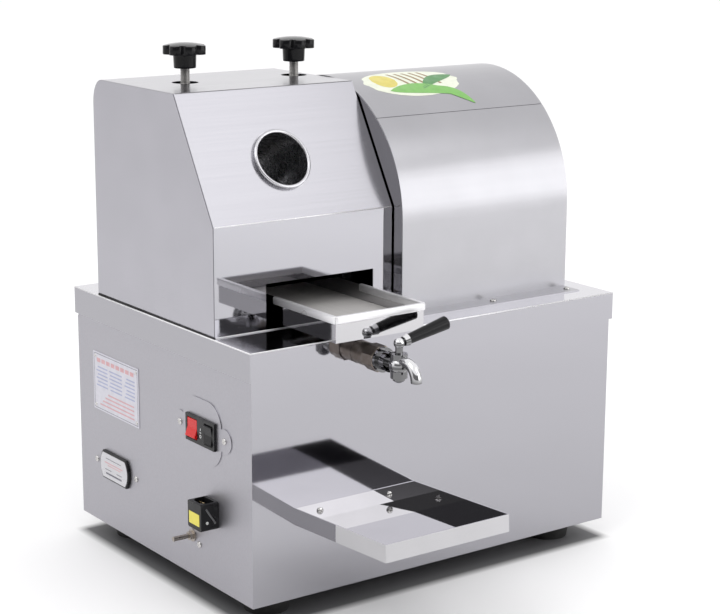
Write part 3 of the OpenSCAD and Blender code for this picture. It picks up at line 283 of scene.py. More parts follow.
def moulded(name, color, rough, coat=0.0, grain=0.00003, sheen=0.5):
    """Moulded plastic with a fine skin."""
    look = Look(name, color, metallic=0.0, roughness=rough)
    look.put("Coat Weight", coat)
    look.put("Coat Roughness", 0.06)
    look.put("Specular IOR Level", sheen)
    look.gloss(look.noise(scale=50, detail=4.0), low=rough * 0.8, high=rough * 1.3)
    paler = tuple(min(1, c * 1.5 + 0.004) for c in color[:3]) + (1.0,)
    look.tint(look.noise(scale=14, detail=3.0), paler, share=0.35)
    look.bump(look.noise(scale=900, detail=2.0), depth=grain, strength=0.35)
    return look.mat


def painted(name, color, rough):
    """Painted casting with orange peel and dust."""
    look = Look(name, color, metallic=0.0, roughness=rough)
    look.tint(look.noise(scale=20, detail=5.0), shaded(color, 0.7), share=0.6)
    look.gloss(look.noise(scale=45, detail=3.0), low=rough * 0.8, high=rough * 1.3)
    look.bump(look.noise(scale=260, detail=3.0), depth=0.00025, strength=0.5)
    return look.mat


def printed(name, color):
    """Ink or film on a plate, slightly uneven."""
    look = Look(name, color, metallic=0.0, roughness=0.4)
    look.tint(look.noise(scale=120, detail=4.0), shaded(color, 0.86), share=0.6)
    look.gloss(look.noise(scale=80, detail=3.0), low=0.32, high=0.5)
    return look.mat


STEEL = (0.378, 0.373, 0.4, 1.0)
HEAD = (0.385, 0.381, 0.408, 1.0)
# Paler tones of the same sheet for the cabinet's sides and the lid's top: painted light
FLANK_PAINTED_LIGHT = (0.42, 0.413, 0.444, 1.0)
LID_TOP_PAINTED_LIGHT = (0.57, 0.565, 0.595, 1.0)
HEAD_SIDE = (0.43, 0.423, 0.459, 1.0)
END = (0.33, 0.326, 0.34, 1.0)
DRUM = (0.41, 0.407, 0.428, 1.0)
BRIGHT = (0.56, 0.555, 0.58, 1.0)
PAN = (0.5, 0.495, 0.51, 1.0)
LOOSE_PLATE = (0.53, 0.517, 0.505, 1.0)
COVER = (0.6, 0.595, 0.62, 1.0)

# The cabinet's faces square to x and the lid's top get a paler colour as painted light; the head differs
# only in roughness
shell_steel_painted_flanks = by_face("shell_steel_painted_flanks", "X", plain=(STEEL, 0.06), other=(FLANK_PAINTED_LIGHT, 0.46))
lid_steel_painted_top = by_face("lid_steel_painted_top", "Z", plain=(STEEL, 0.06), other=(LID_TOP_PAINTED_LIGHT, 0.11))
head_steel = by_face("head_steel", "Y", plain=(HEAD, 0.22), other=(HEAD, 0.04))
panel = sheet_metal("panel_steel", STEEL, rough=0.1, grain=ALONG_X, ripple=0.00024)
side_steel = sheet_metal("side_steel", HEAD_SIDE, rough=0.16, grain=ALONG_Y, ripple=0.00024)
end_steel = sheet_metal("end_steel", END, rough=0.07, grain=ALONG_Y, ripple=0.00008, relief=0.0)
drum_steel = sheet_metal(
    "drum_steel", DRUM, rough=0.3, grain=ALONG_X, ripple=0.00016, relief=0.05, vary=0.06
)
tray_steel = sheet_metal("tray_steel", PAN, rough=0.03, grain=ALONG_Y, ripple=0.00008)
trough_steel = sheet_metal("trough_steel", PAN, rough=0.05, grain=ALONG_Y, ripple=0.00008)
brushed = sheet_metal(
    "brushed_plate", LOOSE_PLATE, rough=0.5, grain=ALONG_Y, ripple=0.00016, metallic=0.1
)
tube_steel = sheet_metal("tube_steel", BRIGHT, rough=0.26, grain=ALONG_X, ripple=0.00016)
cover_steel = sheet_metal("cover_steel", COVER, rough=0.3, grain=ALONG_Y, ripple=0.00008)
# Painted highlight: pale colour for the trough's hem, the lid's edge and the head's foot and lower fold
painted_highlight_steel = even_metal("painted_highlight_steel", (0.82, 0.815, 0.83, 1.0), rough=0.3)
# Painted shade: dark grey for the head's upper fold
painted_shade_steel = even_metal("painted_shade_steel", (0.22, 0.217, 0.23, 1.0), rough=0.35)
chrome = chrome_with_painted_reflection()
coupling = pipe()
fastener = turned("bright_fastener", (0.62, 0.61, 0.6, 1.0), rough=0.16)
roller = turned("roller_steel", (0.58, 0.58, 0.58, 1.0), rough=0.22)
thread = turned("thread_steel", (0.4, 0.39, 0.38, 1.0), rough=0.3)
brass = turned("contact_brass", (0.75, 0.56, 0.26, 1.0), rough=0.22)
gear = oiled("gear_steel", (0.33, 0.33, 0.34, 1.0), rough=0.34)
plate = oiled("frame_steel", (0.4, 0.405, 0.415, 1.0), rough=0.38)
bronze = oiled("bush_bronze", (0.55, 0.36, 0.17, 1.0), rough=0.34)
stud_steel = oiled("stud_steel", (0.44, 0.4, 0.36, 1.0), rough=0.3)
black_gloss = moulded("black_gloss", (0.004, 0.004, 0.005, 1.0), rough=0.16, coat=0.05, sheen=0.18)
black_matt = moulded("black_matt", (0.007, 0.007, 0.008, 1.0), rough=0.3, sheen=0.3)
red_clear = moulded(
    "red_clear", (0.5, 0.008, 0.008, 1.0), rough=0.2, coat=0.1, grain=0.00001, sheen=0.3
)
rubber = moulded("foot_rubber", (0.014, 0.014, 0.014, 1.0), rough=0.7, grain=0.0001)
seam_dark = moulded("seam_dark", tone(70, 68, 78), rough=0.6)
rib_plastic = moulded("rib_plastic", tone(96, 96, 98), rough=0.4)
casting = painted("gearbox_paint", (0.16, 0.18, 0.19, 1.0), rough=0.45)
motor_paint = painted("motor_paint", (0.07, 0.12, 0.2, 1.0), rough=0.4)
pale_plate = printed("pale_plate", tone(204, 203, 212))
ink_red = printed("ink_red", tone(204, 158, 162))
ink_blue = printed("ink_blue", tone(160, 166, 196))
ink_grey = printed("ink_grey", tone(110, 108, 118))
mark_white = printed("mark_white", tone(214, 216, 214))
patch_yellow = printed("patch_yellow", tone(226, 214, 86))
film_white = printed("film_white", tone(228, 232, 214))
film_yellow = printed("film_yellow", tone(214, 200, 98))
film_brown = printed("film_brown", tone(150, 124, 86))
film_green = printed("film_green", tone(122, 182, 92))
film_deep = printed("film_deep", tone(84, 140, 84))

LOOKS = {
    shell_steel_painted_flanks: "cabinet_shell switch_plate",
    panel: "back_panel bottom_plate",
    lid_steel_painted_top: "lid",
    head_steel: "head_cover",
    side_steel: "head_left_side drum_right_end",
    end_steel: "head_right_side drum_left_end",
    tube_steel: "feed_tube",
    drum_steel: "drum_front_cover drum_top_cover",
    tray_steel: "drip_tray",
    trough_steel: "juice_pan",
    brushed: "bagasse_plate turn_plate scraper",
    fastener: "panel_screws plate_rivets foot_screws frame_bolts",
    stud_steel: "earth_stud",
    roller: "main_roller top_roller bottom_roller tie_bars",
    thread: "left_press_screw right_press_screw",
    gear: "main_gear top_gear bottom_gear bull_gear drive_pinion",
    plate: "left_stand right_stand outboard_stand bed_plate top_blocks",
    bronze: "fixed_bushes top_bushes",
    coupling: "drain_elbow",
    chrome: "tap_body tap_plug tap_ferrule tap_cap",
    black_gloss: "left_knob right_knob tap_grip black_rocker",
    black_matt: "switch_housing blank_cover power_inlet",
    red_clear: "red_rocker",
    rubber: "rubber_feet",
    casting: "gearbox",
    motor_paint: "motor",
    pale_plate: "rating_plate",
    brass: "inlet_prongs",
}
for look, names in LOOKS.items():
    for name in names.split():
        mesh = nodes[name].data
        mesh.materials.clear()
        mesh.materials.append(look)

# Width of the rounding on the edges of some pieces
EDGES = {
    0.0006: "left_knob right_knob black_rocker red_rocker power_inlet",
    0.0003: "switch_housing drum_left_end drum_right_end",
}


def soften(name, width):
    """Rounds a CAD node's sharp edges a little, with modifiers alone."""
    node = nodes[name]
    weld = node.modifiers.new("weld", "WELD")
    weld.merge_threshold = WELD
    bevel = node.modifiers.new("edges", "BEVEL")
    bevel.width = width
    bevel.segments = 2
    bevel.limit_method = "ANGLE"
    bevel.angle_limit = math.radians(40)
    bevel.use_clamp_overlap = False
    bevel.harden_normals = True


def piece(name, verts, faces, material, body, slot, smooth=True):
    """A new mesh piece in the row frame that rides a body."""
    mesh = bpy.data.meshes.new(name)
    mesh.from_pydata([tuple(v) for v in verts], [], faces)
    mesh.materials.append(material)
    made = bmesh.new()
    made.from_mesh(mesh)
    bmesh.ops.recalc_face_normals(made, faces=made.faces)
    made.to_mesh(mesh)
    made.free()
    for face in mesh.polygons:
        face.use_smooth = smooth
    obj = bpy.data.objects.new(name, mesh)
    bpy.context.scene.collection.objects.link(obj)
    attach(obj, body)
    return obj


def lofted(layers, closed=True):
    """Skin through outlines of equal length, open at the first one if not closed."""
    count = len(layers[0])
    verts = [point for layer in layers for point in layer]
    faces = []
    for k in range(len(layers) - 1):
        for i in range(count):
            j = (i + 1) % count
            faces.append((k * count + i, k * count + j, (k + 1) * count + j, (k + 1) * count + i))
    if closed:
        faces.append(tuple(reversed(range(count))))
    faces.append(tuple(range((len(layers) - 1) * count, len(layers) * count)))
    return verts, faces


def crossed_head(diameter, height):
    """Points and faces of a pan head with a cross recess, standing on z = 0."""
    recess_share, recess_floor = 0.6, 0.25
    crown_drop, crown_power, side_tall = 0.55, 2.6, 0.36
    crown_steps = (0.45, 0.75, 0.92)
    on_axis = 1e-6
    arm = diameter * 0.32
    half = diameter * 0.065
    outer = diameter / 2
    right = math.pi / 2
    corner = math.atan2(half, arm)
    quarter = [0, corner, (corner + right / 2) / 2, right / 2]
    quarter += [(right - corner + right / 2) / 2, right - corner]
    angles = [q * right + a for q in range(4) for a in quarter]
    count = len(angles)

    def reach(angle):
        """From the middle to the wall of the cross."""
        c, s = abs(math.cos(angle)), abs(math.sin(angle))
        long, short = max(c, s), min(c, s)
        return min(arm / long, half / short) if short > on_axis else arm

    def crown(r):
        """Height of the domed top."""
        return height * (1 - crown_drop * (r / outer) ** crown_power)

    rings = []
    rings.append([(reach(a) * recess_share, height * recess_floor, a) for a in angles])
    rings.append([(reach(a), crown(reach(a)), a) for a in angles])
    for share in crown_steps:
        radii = [reach(a) + (outer - reach(a)) * share for a in angles]
        rings.append([(r, crown(r), a) for r, a in zip(radii, angles)])
    rings.append([(outer, height * side_tall, a) for a in angles])
    rings.append([(outer, 0, a) for a in angles])
    verts = [(r * math.cos(a), r * math.sin(a), z) for ring in rings for r, z, a in ring]
    faces = [tuple(range(count))]
    for k in range(len(rings) - 1):
        for i in range(count):
            j = (i + 1) % count
            faces.append((k * count + i, (k + 1) * count + i, (k + 1) * count + j, k * count + j))
    return verts, faces


def islands(name):
    """Vertex groups of a CAD node's separate solids."""
    made = bmesh.new()
    made.from_mesh(nodes[name].data)
    bmesh.ops.remove_doubles(made, verts=made.verts, dist=WELD)
    left = set(made.verts)
    groups = []
    while left:
        todo = [left.pop()]
        group = []
        while todo:
            vert = todo.pop()
            group.append(vert.co.copy())
            for edge in vert.link_edges:
                other = edge.other_vert(vert)
                if other in left:
                    left.discard(other)
                    todo.append(other)
        groups.append(group)
    made.free()
    return sorted(groups, key=lambda g: tuple(round(c, 4) for c in sum(g, Vector()) / len(g)))


def screw_heads():
    """Pan head screws with cross recesses where the CAD's plain ones sit."""
    rim_share, spin_step = 0.45, 0.7
    verts, faces = [], []
    for turn, group in enumerate(islands("panel_screws")):
        low = Vector([min(p[i] for p in group) for i in range(3)])
        high = Vector([max(p[i] for p in group) for i in range(3)])
        size = high - low
        axis = max(range(3), key=lambda i: min(abs(size[i] - size[j]) for j in range(3) if j != i))
        others = [i for i in range(3) if i != axis]
        diameter = size[others[0]]
        middle = (low + high) / 2
        rim = diameter * rim_share
        seat = [p[axis] for p in group if max(abs(p[i] - middle[i]) for i in others) > rim]
        face = sum(seat) / len(seat)
        out = 1 if high[axis] - face < face - low[axis] else -1
        tip = high[axis] if out > 0 else low[axis]
        base = min(seat) if out > 0 else max(seat)
        normal = Vector((0, 0, 0))
        normal[axis] = out
        centre = middle.copy()
        centre[axis] = base
        points, loops = crossed_head(diameter, abs(tip - base))
        spin = Matrix.Rotation(spin_step * turn, 4, "Z")
        facing = normal.to_track_quat("Z", "Y").to_matrix().to_4x4()
        stand = Matrix.Translation(centre) @ facing @ spin
        start = len(verts)
        verts += [stand @ Vector(p) for p in points]
        faces += [tuple(start + i for i in loop) for loop in loops]
    made = piece("screw_heads", verts, faces, fastener, "machine", "fasteners")
    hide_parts("panel_screws")


def threaded_rod(name, node, body, pitch):
    """A rod with a helical thread in place of a plain CAD rod along Z."""
    around, per_turn = 24, 6
    depth_share, crest_gain = 0.5, 1.25
    low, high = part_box(node)
    middle = (low + high) / 2
    outer = (high.x - low.x) / 2
    inner = outer - pitch * depth_share
    steps = int((high.z - low.z) / pitch * per_turn)
    layers = []
    for k in range(steps + 1):
        z = low.z + (high.z - low.z) * k / steps
        ring = []
        for i in range(around):
            angle = FULL_TURN * i / around
            phase = ((z - low.z) / pitch - i / around) % 1
            crest = 1 - abs(2 * phase - 1)
            r = inner + (outer - inner) * min(1, crest * crest_gain)
            ring.append((middle.x + r * math.cos(angle), middle.y + r * math.sin(angle), z))
        layers.append(ring)
    made = piece(name, *lofted(layers), thread, body, "roller_steel")
    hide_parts(node)


def thin_boxes(places, thick):
    """Points and faces of flat bars on the left side: each place is y, z ranges and the face's x."""
    taper = 0.00008
    verts, faces = [], []
    for y0, y1, z0, z1, x in places:
        start = len(verts)
        for depth, edge in ((0.0, 0.0), (thick, taper)):
            verts += [
                (x - depth, y0 + edge, z0 + edge),
                (x - depth, y1 - edge, z0 + edge),
                (x - depth, y1 - edge, z1 - edge),
                (x - depth, y0 + edge, z1 - edge),
            ]
        faces.append(tuple(start + i for i in (4, 5, 6, 7)))
        for i in range(4):
            j = (i + 1) % 4
            faces.append((start + i, start + j, start + 4 + j, start + 4 + i))
    return verts, faces


def rules(name, places, material):
    """Printed bars on a plate of the left side."""
    piece(name, *thin_boxes(places, INK), material, "machine", "plate_metal", smooth=False)


def rating_lines():
    """Generic print on the rating plate: a row of blocks, three columns, closing rules, a border."""
    block_count, block_left, block_wide, block_pitch = 8, 0.1, 0.08, 0.105
    block_low, block_high = 0.83, 0.9
    rule_count, rule_left, rule_right, rule_shorter = 4, 0.1, 0.86, 0.06
    rule_low, rule_tall, rule_pitch = 0.1, 0.025, 0.07
    line_count, line_low, line_tall, line_pitch = 6, 0.42, 0.024, 0.063
    # Each column's left and right end, and how its lines change in length and how often
    columns = ((0.08, 0.3, -0.02, 3), (0.36, 0.62, 0.02, 2), (0.68, 0.93, -0.03, 2))
    side, foot, side_line, foot_line = 0.02, 0.025, 0.007, 0.01
    low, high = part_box("rating_plate")
    wide = high.y - low.y
    tall = high.z - low.z

    def row(left, right, bottom, top):
        """A bar given in shares of the plate."""
        ends = (low.y + left * wide, low.y + right * wide)
        return ends + (low.z + bottom * tall, low.z + top * tall, low.x)

    red = []
    for k in range(block_count):
        left = block_left + block_pitch * k
        red.append(row(left, left + block_wide, block_low, block_high))
    for k in range(rule_count):
        bottom = rule_low + rule_pitch * k
        red.append(row(rule_left, rule_right - rule_shorter * k, bottom, bottom + rule_tall))
    blue = []
    for k in range(line_count):
        bottom = line_low + line_pitch * k
        for left, right, change, cycle in columns:
            blue.append(row(left, right + change * (k % cycle), bottom, bottom + line_tall))
    border = [
        row(side, 1 - side, 1 - foot - foot_line, 1 - foot),
        row(side, 1 - side, foot, foot + foot_line),
        row(side, side + side_line, foot, 1 - foot),
        row(1 - side - side_line, 1 - side, foot, 1 - foot),
    ]
    rules("rating_rules_red", red, ink_red)
    rules("rating_rules_blue", blue, ink_blue)
    rules("rating_border", border, ink_grey)


def barrel(wide, tall, belly):
    """Outline of the barrel shaped cover, round its middle."""
    count = 12
    r = (tall * tall / 4 + belly * belly) / (2 * belly)
    reach = math.asin(tall / 2 / r)
    outline = []
    for side in (1, -1):
        for k in range(count + 1):
            angle = (-reach + 2 * reach * k / count) * side
            outline.append((side * (wide / 2 - r + r * math.cos(angle)), r * math.sin(angle)))
    return outline


def cover():
    """Shallow black cover in place of the CAD one, with a silver face and generic ruled lines."""
    deep, rim, body_belly, face_belly = 0.0042, 0.0022, 0.0075, 0.0066
    face_tall = 0.0006
    low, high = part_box("blank_cover")
    middle = (low + high) / 2
    wide = high.y - low.y
    tall = high.z - low.z
    front = high.x - deep
    # Depth and inset of the body's outlines, then depth and share of the face's
    body_steps = ((0.0, 0.0), (0.0032, 0.0), (0.0039, 0.0004), (deep, 0.0011), (deep, rim + 0.001))
    face_steps = ((0.0, 1.0), (0.00035, 1.0), (face_tall, 0.985))
    layers = []
    for depth, inset in body_steps:
        shape = barrel(wide - 2 * inset, tall - 2 * inset, body_belly)
        layers.append([(high.x - depth, middle.y + y, middle.z + z) for y, z in shape])
    body = piece("cover_body", *lofted(layers), black_matt, "machine", "black_plastic", smooth=False)
    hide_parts("blank_cover")
    shape = barrel(wide - 2 * rim, tall - 2 * rim, face_belly)
    layers = []
    for depth, share in face_steps:
        layers.append([(front - depth, middle.y + y * share, middle.z + z * share) for y, z in shape])
    skin = lofted(layers, closed=False)
    piece("cover_face", *skin, cover_steel, "machine", "plate_metal", smooth=False)

    def row(left, right, bottom, top):
        """A bar given from the middle of the cover."""
        ends = (middle.y + left, middle.y + right)
        return ends + (middle.z + bottom, middle.z + top, front - face_tall)

    red = [row(-0.024, 0.024, 0.0035, 0.005), row(-0.019, 0.016, 0.0005, 0.0016)]
    grey = [
        row(-0.02, 0.021, 0.0095, 0.0105),
        row(-0.022, -0.008, -0.0055, -0.0045),
        row(0.006, 0.023, -0.0055, -0.0045),
        row(-0.021, 0.021, -0.0115, -0.009),
    ]
    rules("cover_rules_red", red, ink_red)
    rules("cover_rules_grey", grey, ink_grey)


def ring_mark(y, z, x, outer, inner):
    """Points and faces of a flat ring on the left side."""
    count = 24
    verts, faces = [], []
    for k in range(count):
        c, s = math.cos(FULL_TURN * k / count), math.sin(FULL_TURN * k / count)
        verts += [
            (x, y + outer * c, z + outer * s),
            (x - MARK, y + outer * c, z + outer * s),
            (x - MARK, y + inner * c, z + inner * s),
            (x, y + inner * c, z + inner * s),
        ]
    for k in range(count):
        a, b = 4 * k, 4 * ((k + 1) % count)
        for i in range(3):
            faces.append((a + i, b + i, b + i + 1, a + i + 1))
    return verts, faces


def switch_marks():
    """Plain line and ring marks in a column on the strip between the rockers."""
    stroke_half, stroke_low, stroke_high = 0.0006, 0.0015, 0.0045
    dash_half, dash_low, dash_high = 0.0017, -0.0015, -0.0004
    ring_drop, ring_outer, ring_inner = 0.0055, 0.0021, 0.0012
    low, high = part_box("switch_housing")
    y = (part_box("red_rocker")[0].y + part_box("black_rocker")[1].y) / 2
    z = (low.z + high.z) / 2
    x = low.x
    bars = [
        (y - stroke_half, y + stroke_half, z + stroke_low, z + stroke_high, x),
        (y - dash_half, y + dash_half, z + dash_low, z + dash_high, x),
    ]
    verts, faces = thin_boxes(bars, MARK)
    more, loops = ring_mark(y, z - ring_drop, x, ring_outer, ring_inner)
    start = len(verts)
    verts += more
    faces += [tuple(start + i for i in loop) for loop in loops]
    piece("switch_marks", verts, faces, mark_white, "machine", "black_plastic", smooth=False)


def inlet_trim():
    """Plain yellow patch, a slanted rib and a white dot on the inlet block."""
    patch_near, patch_far, patch_low, patch_high, patch_thick = 0.004, 0.0035, 0.006, 0.021, 0.0003
    rib_start, rib_drop, rib_end, rib_rise = 0.007, 0.006, 0.02, 0.008
    rib_steps = ((0.0, 0.0012), (0.0009, 0.0008))
    dot_in, dot_rise, dot_sides = 0.0085, 0.0105, 20
    dot_steps = ((0.0, 0.0019), (0.0004, 0.0019), (0.0008, 0.0013))
    low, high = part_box("power_inlet")
    patch = [
        (low.y + patch_near, high.y - patch_far, low.z + patch_low, low.z + patch_high, low.x),
    ]
    bar = thin_boxes(patch, patch_thick)
    piece("inlet_patch", *bar, patch_yellow, "machine", "plate_metal", smooth=False)
    start = Vector((low.x + rib_start, low.y, high.z - rib_drop))
    end = Vector((low.x + rib_end, low.y, low.z + rib_rise))
    run = (end - start).normalized()
    across = Vector((-run.z, 0, run.x))
    layers = []
    for depth, half in rib_steps:
        out = Vector((0, -depth, 0))
        corners = ((start, -1), (start, 1), (end, 1), (end, -1))
        layers.append([base + out + across * half * side for base, side in corners])
    skin = lofted(layers, closed=False)
    piece("inlet_rib", *skin, rib_plastic, "machine", "black_plastic", smooth=False)
    centre = Vector((low.x + dot_in, low.y, low.z + dot_rise))
    layers = []
    for depth, r in dot_steps:
        ring = []
        for k in range(dot_sides):
            angle = FULL_TURN * k / dot_sides
            ring.append(centre + Vector((r * math.cos(angle), -depth, r * math.sin(angle))))
        layers.append(ring)
    piece("inlet_dot", *lofted(layers, closed=False), mark_white, "machine", "black_plastic")


def hem_section():
    """Rounded upright section of the trough's hem, as (outward, upward) pairs."""
    half_thick, half_tall, bend, per_corner = 0.0029, 0.0047, 0.0017, 5
    section = []
    for corner in range(4):
        across = (half_thick - bend) * (1 if corner in (0, 3) else -1)
        upward = (half_tall - bend) * (1 if corner in (0, 1) else -1)
        for k in range(per_corner):
            angle = math.radians(90 * (corner + k / (per_corner - 1)))
            section.append((across + bend * math.cos(angle), upward + bend * math.sin(angle)))
    return section


def trough_hem():
    """Rolled hem round the trough's rim: left side, front and right side in one run, pale as a painted
    highlight.
    """
    wall, front_in, back_gap, drop = 0.0018, 0.0014, 0.0009, 0.004
    round_off, per_corner = 0.003, 5
    plate_low, plate_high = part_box("bagasse_plate")
    pan_low, pan_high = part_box("juice_pan")
    left, right = plate_low.x - wall, plate_high.x + wall
    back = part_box("head_cover")[0].y - back_gap
    middle = pan_high.z - drop
    cy = pan_low.y + front_in + round_off
    runs = []
    for out, up in hem_section():
        r = round_off + out
        line = [(left - out, back)]
        for cx, first in ((left + round_off, 180), (right - round_off, 270)):
            for k in range(per_corner):
                angle = math.radians(first + 90 * k / (per_corner - 1))
                line.append((cx + r * math.cos(angle), cy + r * math.sin(angle)))
        line.append((right + out, back))
        runs.append([(x, y, middle + up) for x, y in line])
    layers = list(zip(*runs))
    piece("trough_hem", *lofted(layers), painted_highlight_steel, "machine", "stainless")


def head_seal():
    """Dark sealing strip under the head's left side, a little taller towards the back."""
    out, tall, shoulder, front_share, steps = 0.0012, 0.0021, 0.7, 0.6, 8
    low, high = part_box("head_left_side")
    layers = []
    for k in range(steps + 1):
        y = low.y + (high.y - low.y) * k / steps
        top = tall * (front_share + (1 - front_share) * k / steps)
        section = ((0, 0), (-out, 0), (-out, shoulder * top), (-out / 2, top), (0, top))
        layers.append([(low.x + dx, y, low.z + dz) for dx, dz in section])
    piece("head_seal", *lofted(layers), rubber, "machine", "rubber", smooth=False)


def tube_run(name, path, radius, material):
    """A bead of round section along a path with square turns, bevelled where it turns."""
    around = 12
    last = len(path) - 1
    upward = Vector((0, 0, 1))
    layers = []
    for k, point in enumerate(path):
        back = (point - path[k - 1]).normalized() if k else (path[1] - point).normalized()
        ahead = (path[k + 1] - point).normalized() if k < last else back
        along = (back + ahead).normalized()
        side = along.cross(upward).normalized() / along.dot(ahead)
        ring = []
        for i in range(around):
            angle = FULL_TURN * i / around
            ring.append(point + radius * (side * math.cos(angle) + upward * math.sin(angle)))
        layers.append(ring)
    piece(name, *lofted(layers), material, "machine", "stainless")


def lid_edge_painted_highlight():
    """Rounded fold along the lid's left and front top edges, pale as a painted highlight."""
    inset, radius = 0.0005, 0.0009
    low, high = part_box("lid")
    z = high.z - inset
    path = [
        Vector((low.x + inset, high.y - radius, z)),
        Vector((low.x + inset, low.y + inset, z)),
        Vector((high.x - radius, low.y + inset, z)),
    ]
    tube_run("lid_edge_painted_highlight", path, radius, painted_highlight_steel)


def head_folds():
    """Painted highlights as pale lines at the head's foot and its lower fold, and painted shade as a
    grey line along its upper fold.
    """
    end_gap, slot_gap = 0.001, 0.004
    bead, top_bead = 0.0008, 0.0006
    foot_out, foot_rise, fold_in, top_sink = 0.0002, 0.0005, 0.0005, 0.0004
    low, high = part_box("head_cover")
    slot_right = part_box("bagasse_plate")[1].x + slot_gap
    left, right = low.x + end_gap, high.x - end_gap

    def level(end, y, z):
        """A straight path from the left end."""
        return [Vector((left, y, z)), Vector((end, y, z))]

    foot = level(slot_right, low.y - foot_out, low.z + foot_rise)
    fold = level(right, low.y + fold_in, low.z + HEAD_FRONT_TALL)
    top = level(right, low.y + HEAD_SLANT_RUN, high.z - top_sink)
    # Painted highlights: pale lines at the foot and the lower fold
    tube_run("head_foot", foot, bead, painted_highlight_steel)
    tube_run("head_fold_low_painted_highlight", fold, bead, painted_highlight_steel)
    # Painted shade: a grey line along the upper fold
    tube_run("head_fold_top_painted_shade", top, top_bead, painted_shade_steel)


def pipe_sleeve():
    """Eight-sided coupling on the juice pipe, between the groove and the tap."""
    sides, start_gap = 8, 0.0004
    # Place along the pipe, and how far the corners stand out from it
    steps = ((0.0, 0.0), (0.0008, 0.0022), (0.0205, 0.0022), (0.0213, 0.0012), (0.0216, -0.0004))
    low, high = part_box("drain_elbow")
    tap_low, tap_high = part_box("tap_body")
    x = (low.x + high.x) / 2
    z = (tap_low.z + tap_high.z) / 2
    radius = (high.x - low.x) / 2
    layers = []
    for along, grow in steps:
        y = low.y + start_gap + along
        reach = radius + grow
        angles = [FULL_TURN * (k + 0.5) / sides for k in range(sides)]
        layers.append([(x + reach * math.cos(a), y, z + reach * math.sin(a)) for a in angles])
    piece("pipe_sleeve", *lofted(layers), coupling, "machine", "pipe_steel", smooth=False)


def head_seam():
    """Dark joint between the head's left side and its folded cover, up the front and the slant."""
    near, far, out = 0.0013, 0.0021, 0.00012
    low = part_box("head_left_side")[0]
    cover_low, cover_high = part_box("head_cover")
    foot = Vector((low.x, cover_low.y, low.z))
    fold = foot + Vector((0, 0, HEAD_FRONT_TALL))
    top = Vector((low.x, cover_low.y + HEAD_SLANT_RUN, cover_high.z))
    slope = (top - fold).normalized()
    front_in = Vector((0, 1, 0))
    slant_in = Vector((0, slope.z, -slope.y))
    fold_in = (front_in + slant_in).normalized()
    layers = []
    for point, inward in ((foot, front_in), (fold, fold_in), (top, slant_in)):
        section = ((near, 0), (near, out), (far, out), (far, 0))
        layers.append([point + inward * depth + Vector((-lift, 0, 0)) for depth, lift in section])
    piece("head_seam", *lofted(layers), seam_dark, "machine", "rubber", smooth=False)


def drum_patch(name, rows, lift, material):
    """A film on the drum from rows of pairs: along the drum, and round it from the front."""
    low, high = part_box("drum_left_end")
    middle = (low.y + high.y) / 2
    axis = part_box("drum_top_cover")[1].z - DRUM_R
    r = DRUM_R + lift
    wide = len(rows[0])
    verts, faces = [], []
    for row in rows:
        for u, v in row:
            angle = v / DRUM_R
            verts.append((low.x + u, middle - r * math.cos(angle), axis + r * math.sin(angle)))
    for k in range(len(rows) - 1):
        for i in range(wide - 1):
            near, far = k * wide + i, (k + 1) * wide + i
            faces.append((near, near + 1, far + 1, far))
    piece(name, verts, faces, material, "machine", "stainless")


def leaf_rows(u, v, length, width, angle, bend):
    """Rows of a pointed leaf from its stalk end, turned by an angle."""
    steps, across = 16, 6
    fullness, stalk_gain, tip_loss = 0.75, 1.15, 0.45
    c, s = math.cos(angle), math.sin(angle)
    rows = []
    for k in range(steps + 1):
        t = k / steps
        arch = math.sin(math.pi * t)
        half = width / 2 * arch ** fullness * (stalk_gain - tip_loss * t)
        curve = bend * length * arch
        row = []
        for i in range(across + 1):
            side = (2 * i / across - 1) * half + curve
            row.append((u + c * t * length - s * side, v + s * t * length + c * side))
        rows.append(row)
    return rows


def disc_rows(u, v, wide, tall):
    """Rows of an oval round its middle."""
    steps, across = 16, 8
    rows = []
    for k in range(steps + 1):
        t = -1 + 2 * k / steps
        half = math.sqrt(max(0.0, 1 - t * t)) * tall / 2
        rows.append([(u + t * wide / 2, v + (2 * i / across - 1) * half) for i in range(across + 1)])
    return rows


def stripe_rows(u, v):
    """Rows of a narrow slanted stripe from its lower end."""
    steps, across = 8, 2
    cell, lean, tall = 0.0022, 0.012, 0.04
    rows = []
    for k in range(steps + 1):
        t = k / steps
        rows.append([(u + cell * i - lean * t, v + tall * t) for i in range(across + 1)])
    return rows


def drum_decal():
    """Generic film on the drum: leaves, a round spot and slanted stripes on a pale oval."""
    ground_lift, print_lift, leaf_lift, top_lift = 0.00012, 0.0002, 0.00028, 0.00036
    stripe_count, stripe_first, stripe_pitch, stripe_drop = 5, 0.088, 0.012, 0.012
    base = DRUM_R * math.pi / 2 * 0.8
    ground = disc_rows(0.098, base, wide=0.15, tall=0.075)
    spot = disc_rows(0.058, base + 0.006, wide=0.036, tall=0.04)
    leaf_a = leaf_rows(0.05, base - 0.022, length=0.11, width=0.026, angle=-0.18, bend=0.1)
    leaf_b = leaf_rows(0.17, base + 0.01, length=0.075, width=0.02, angle=math.pi + 0.45, bend=-0.1)
    leaf_c = leaf_rows(0.12, base - 0.018, length=0.06, width=0.018, angle=-0.75, bend=0.08)
    drum_patch("decal_ground", ground, ground_lift, film_white)
    drum_patch("decal_spot", spot, print_lift, film_yellow)
    for k in range(stripe_count):
        stripe = stripe_rows(stripe_first + stripe_pitch * k, base - stripe_drop)
        drum_patch("decal_stripe_%d" % k, stripe, print_lift, film_brown)
    drum_patch("decal_leaf_a", leaf_a, leaf_lift, film_green)
    drum_patch("decal_leaf_b", leaf_b, leaf_lift, film_deep)
    drum_patch("decal_leaf_c", leaf_c, top_lift, film_green)


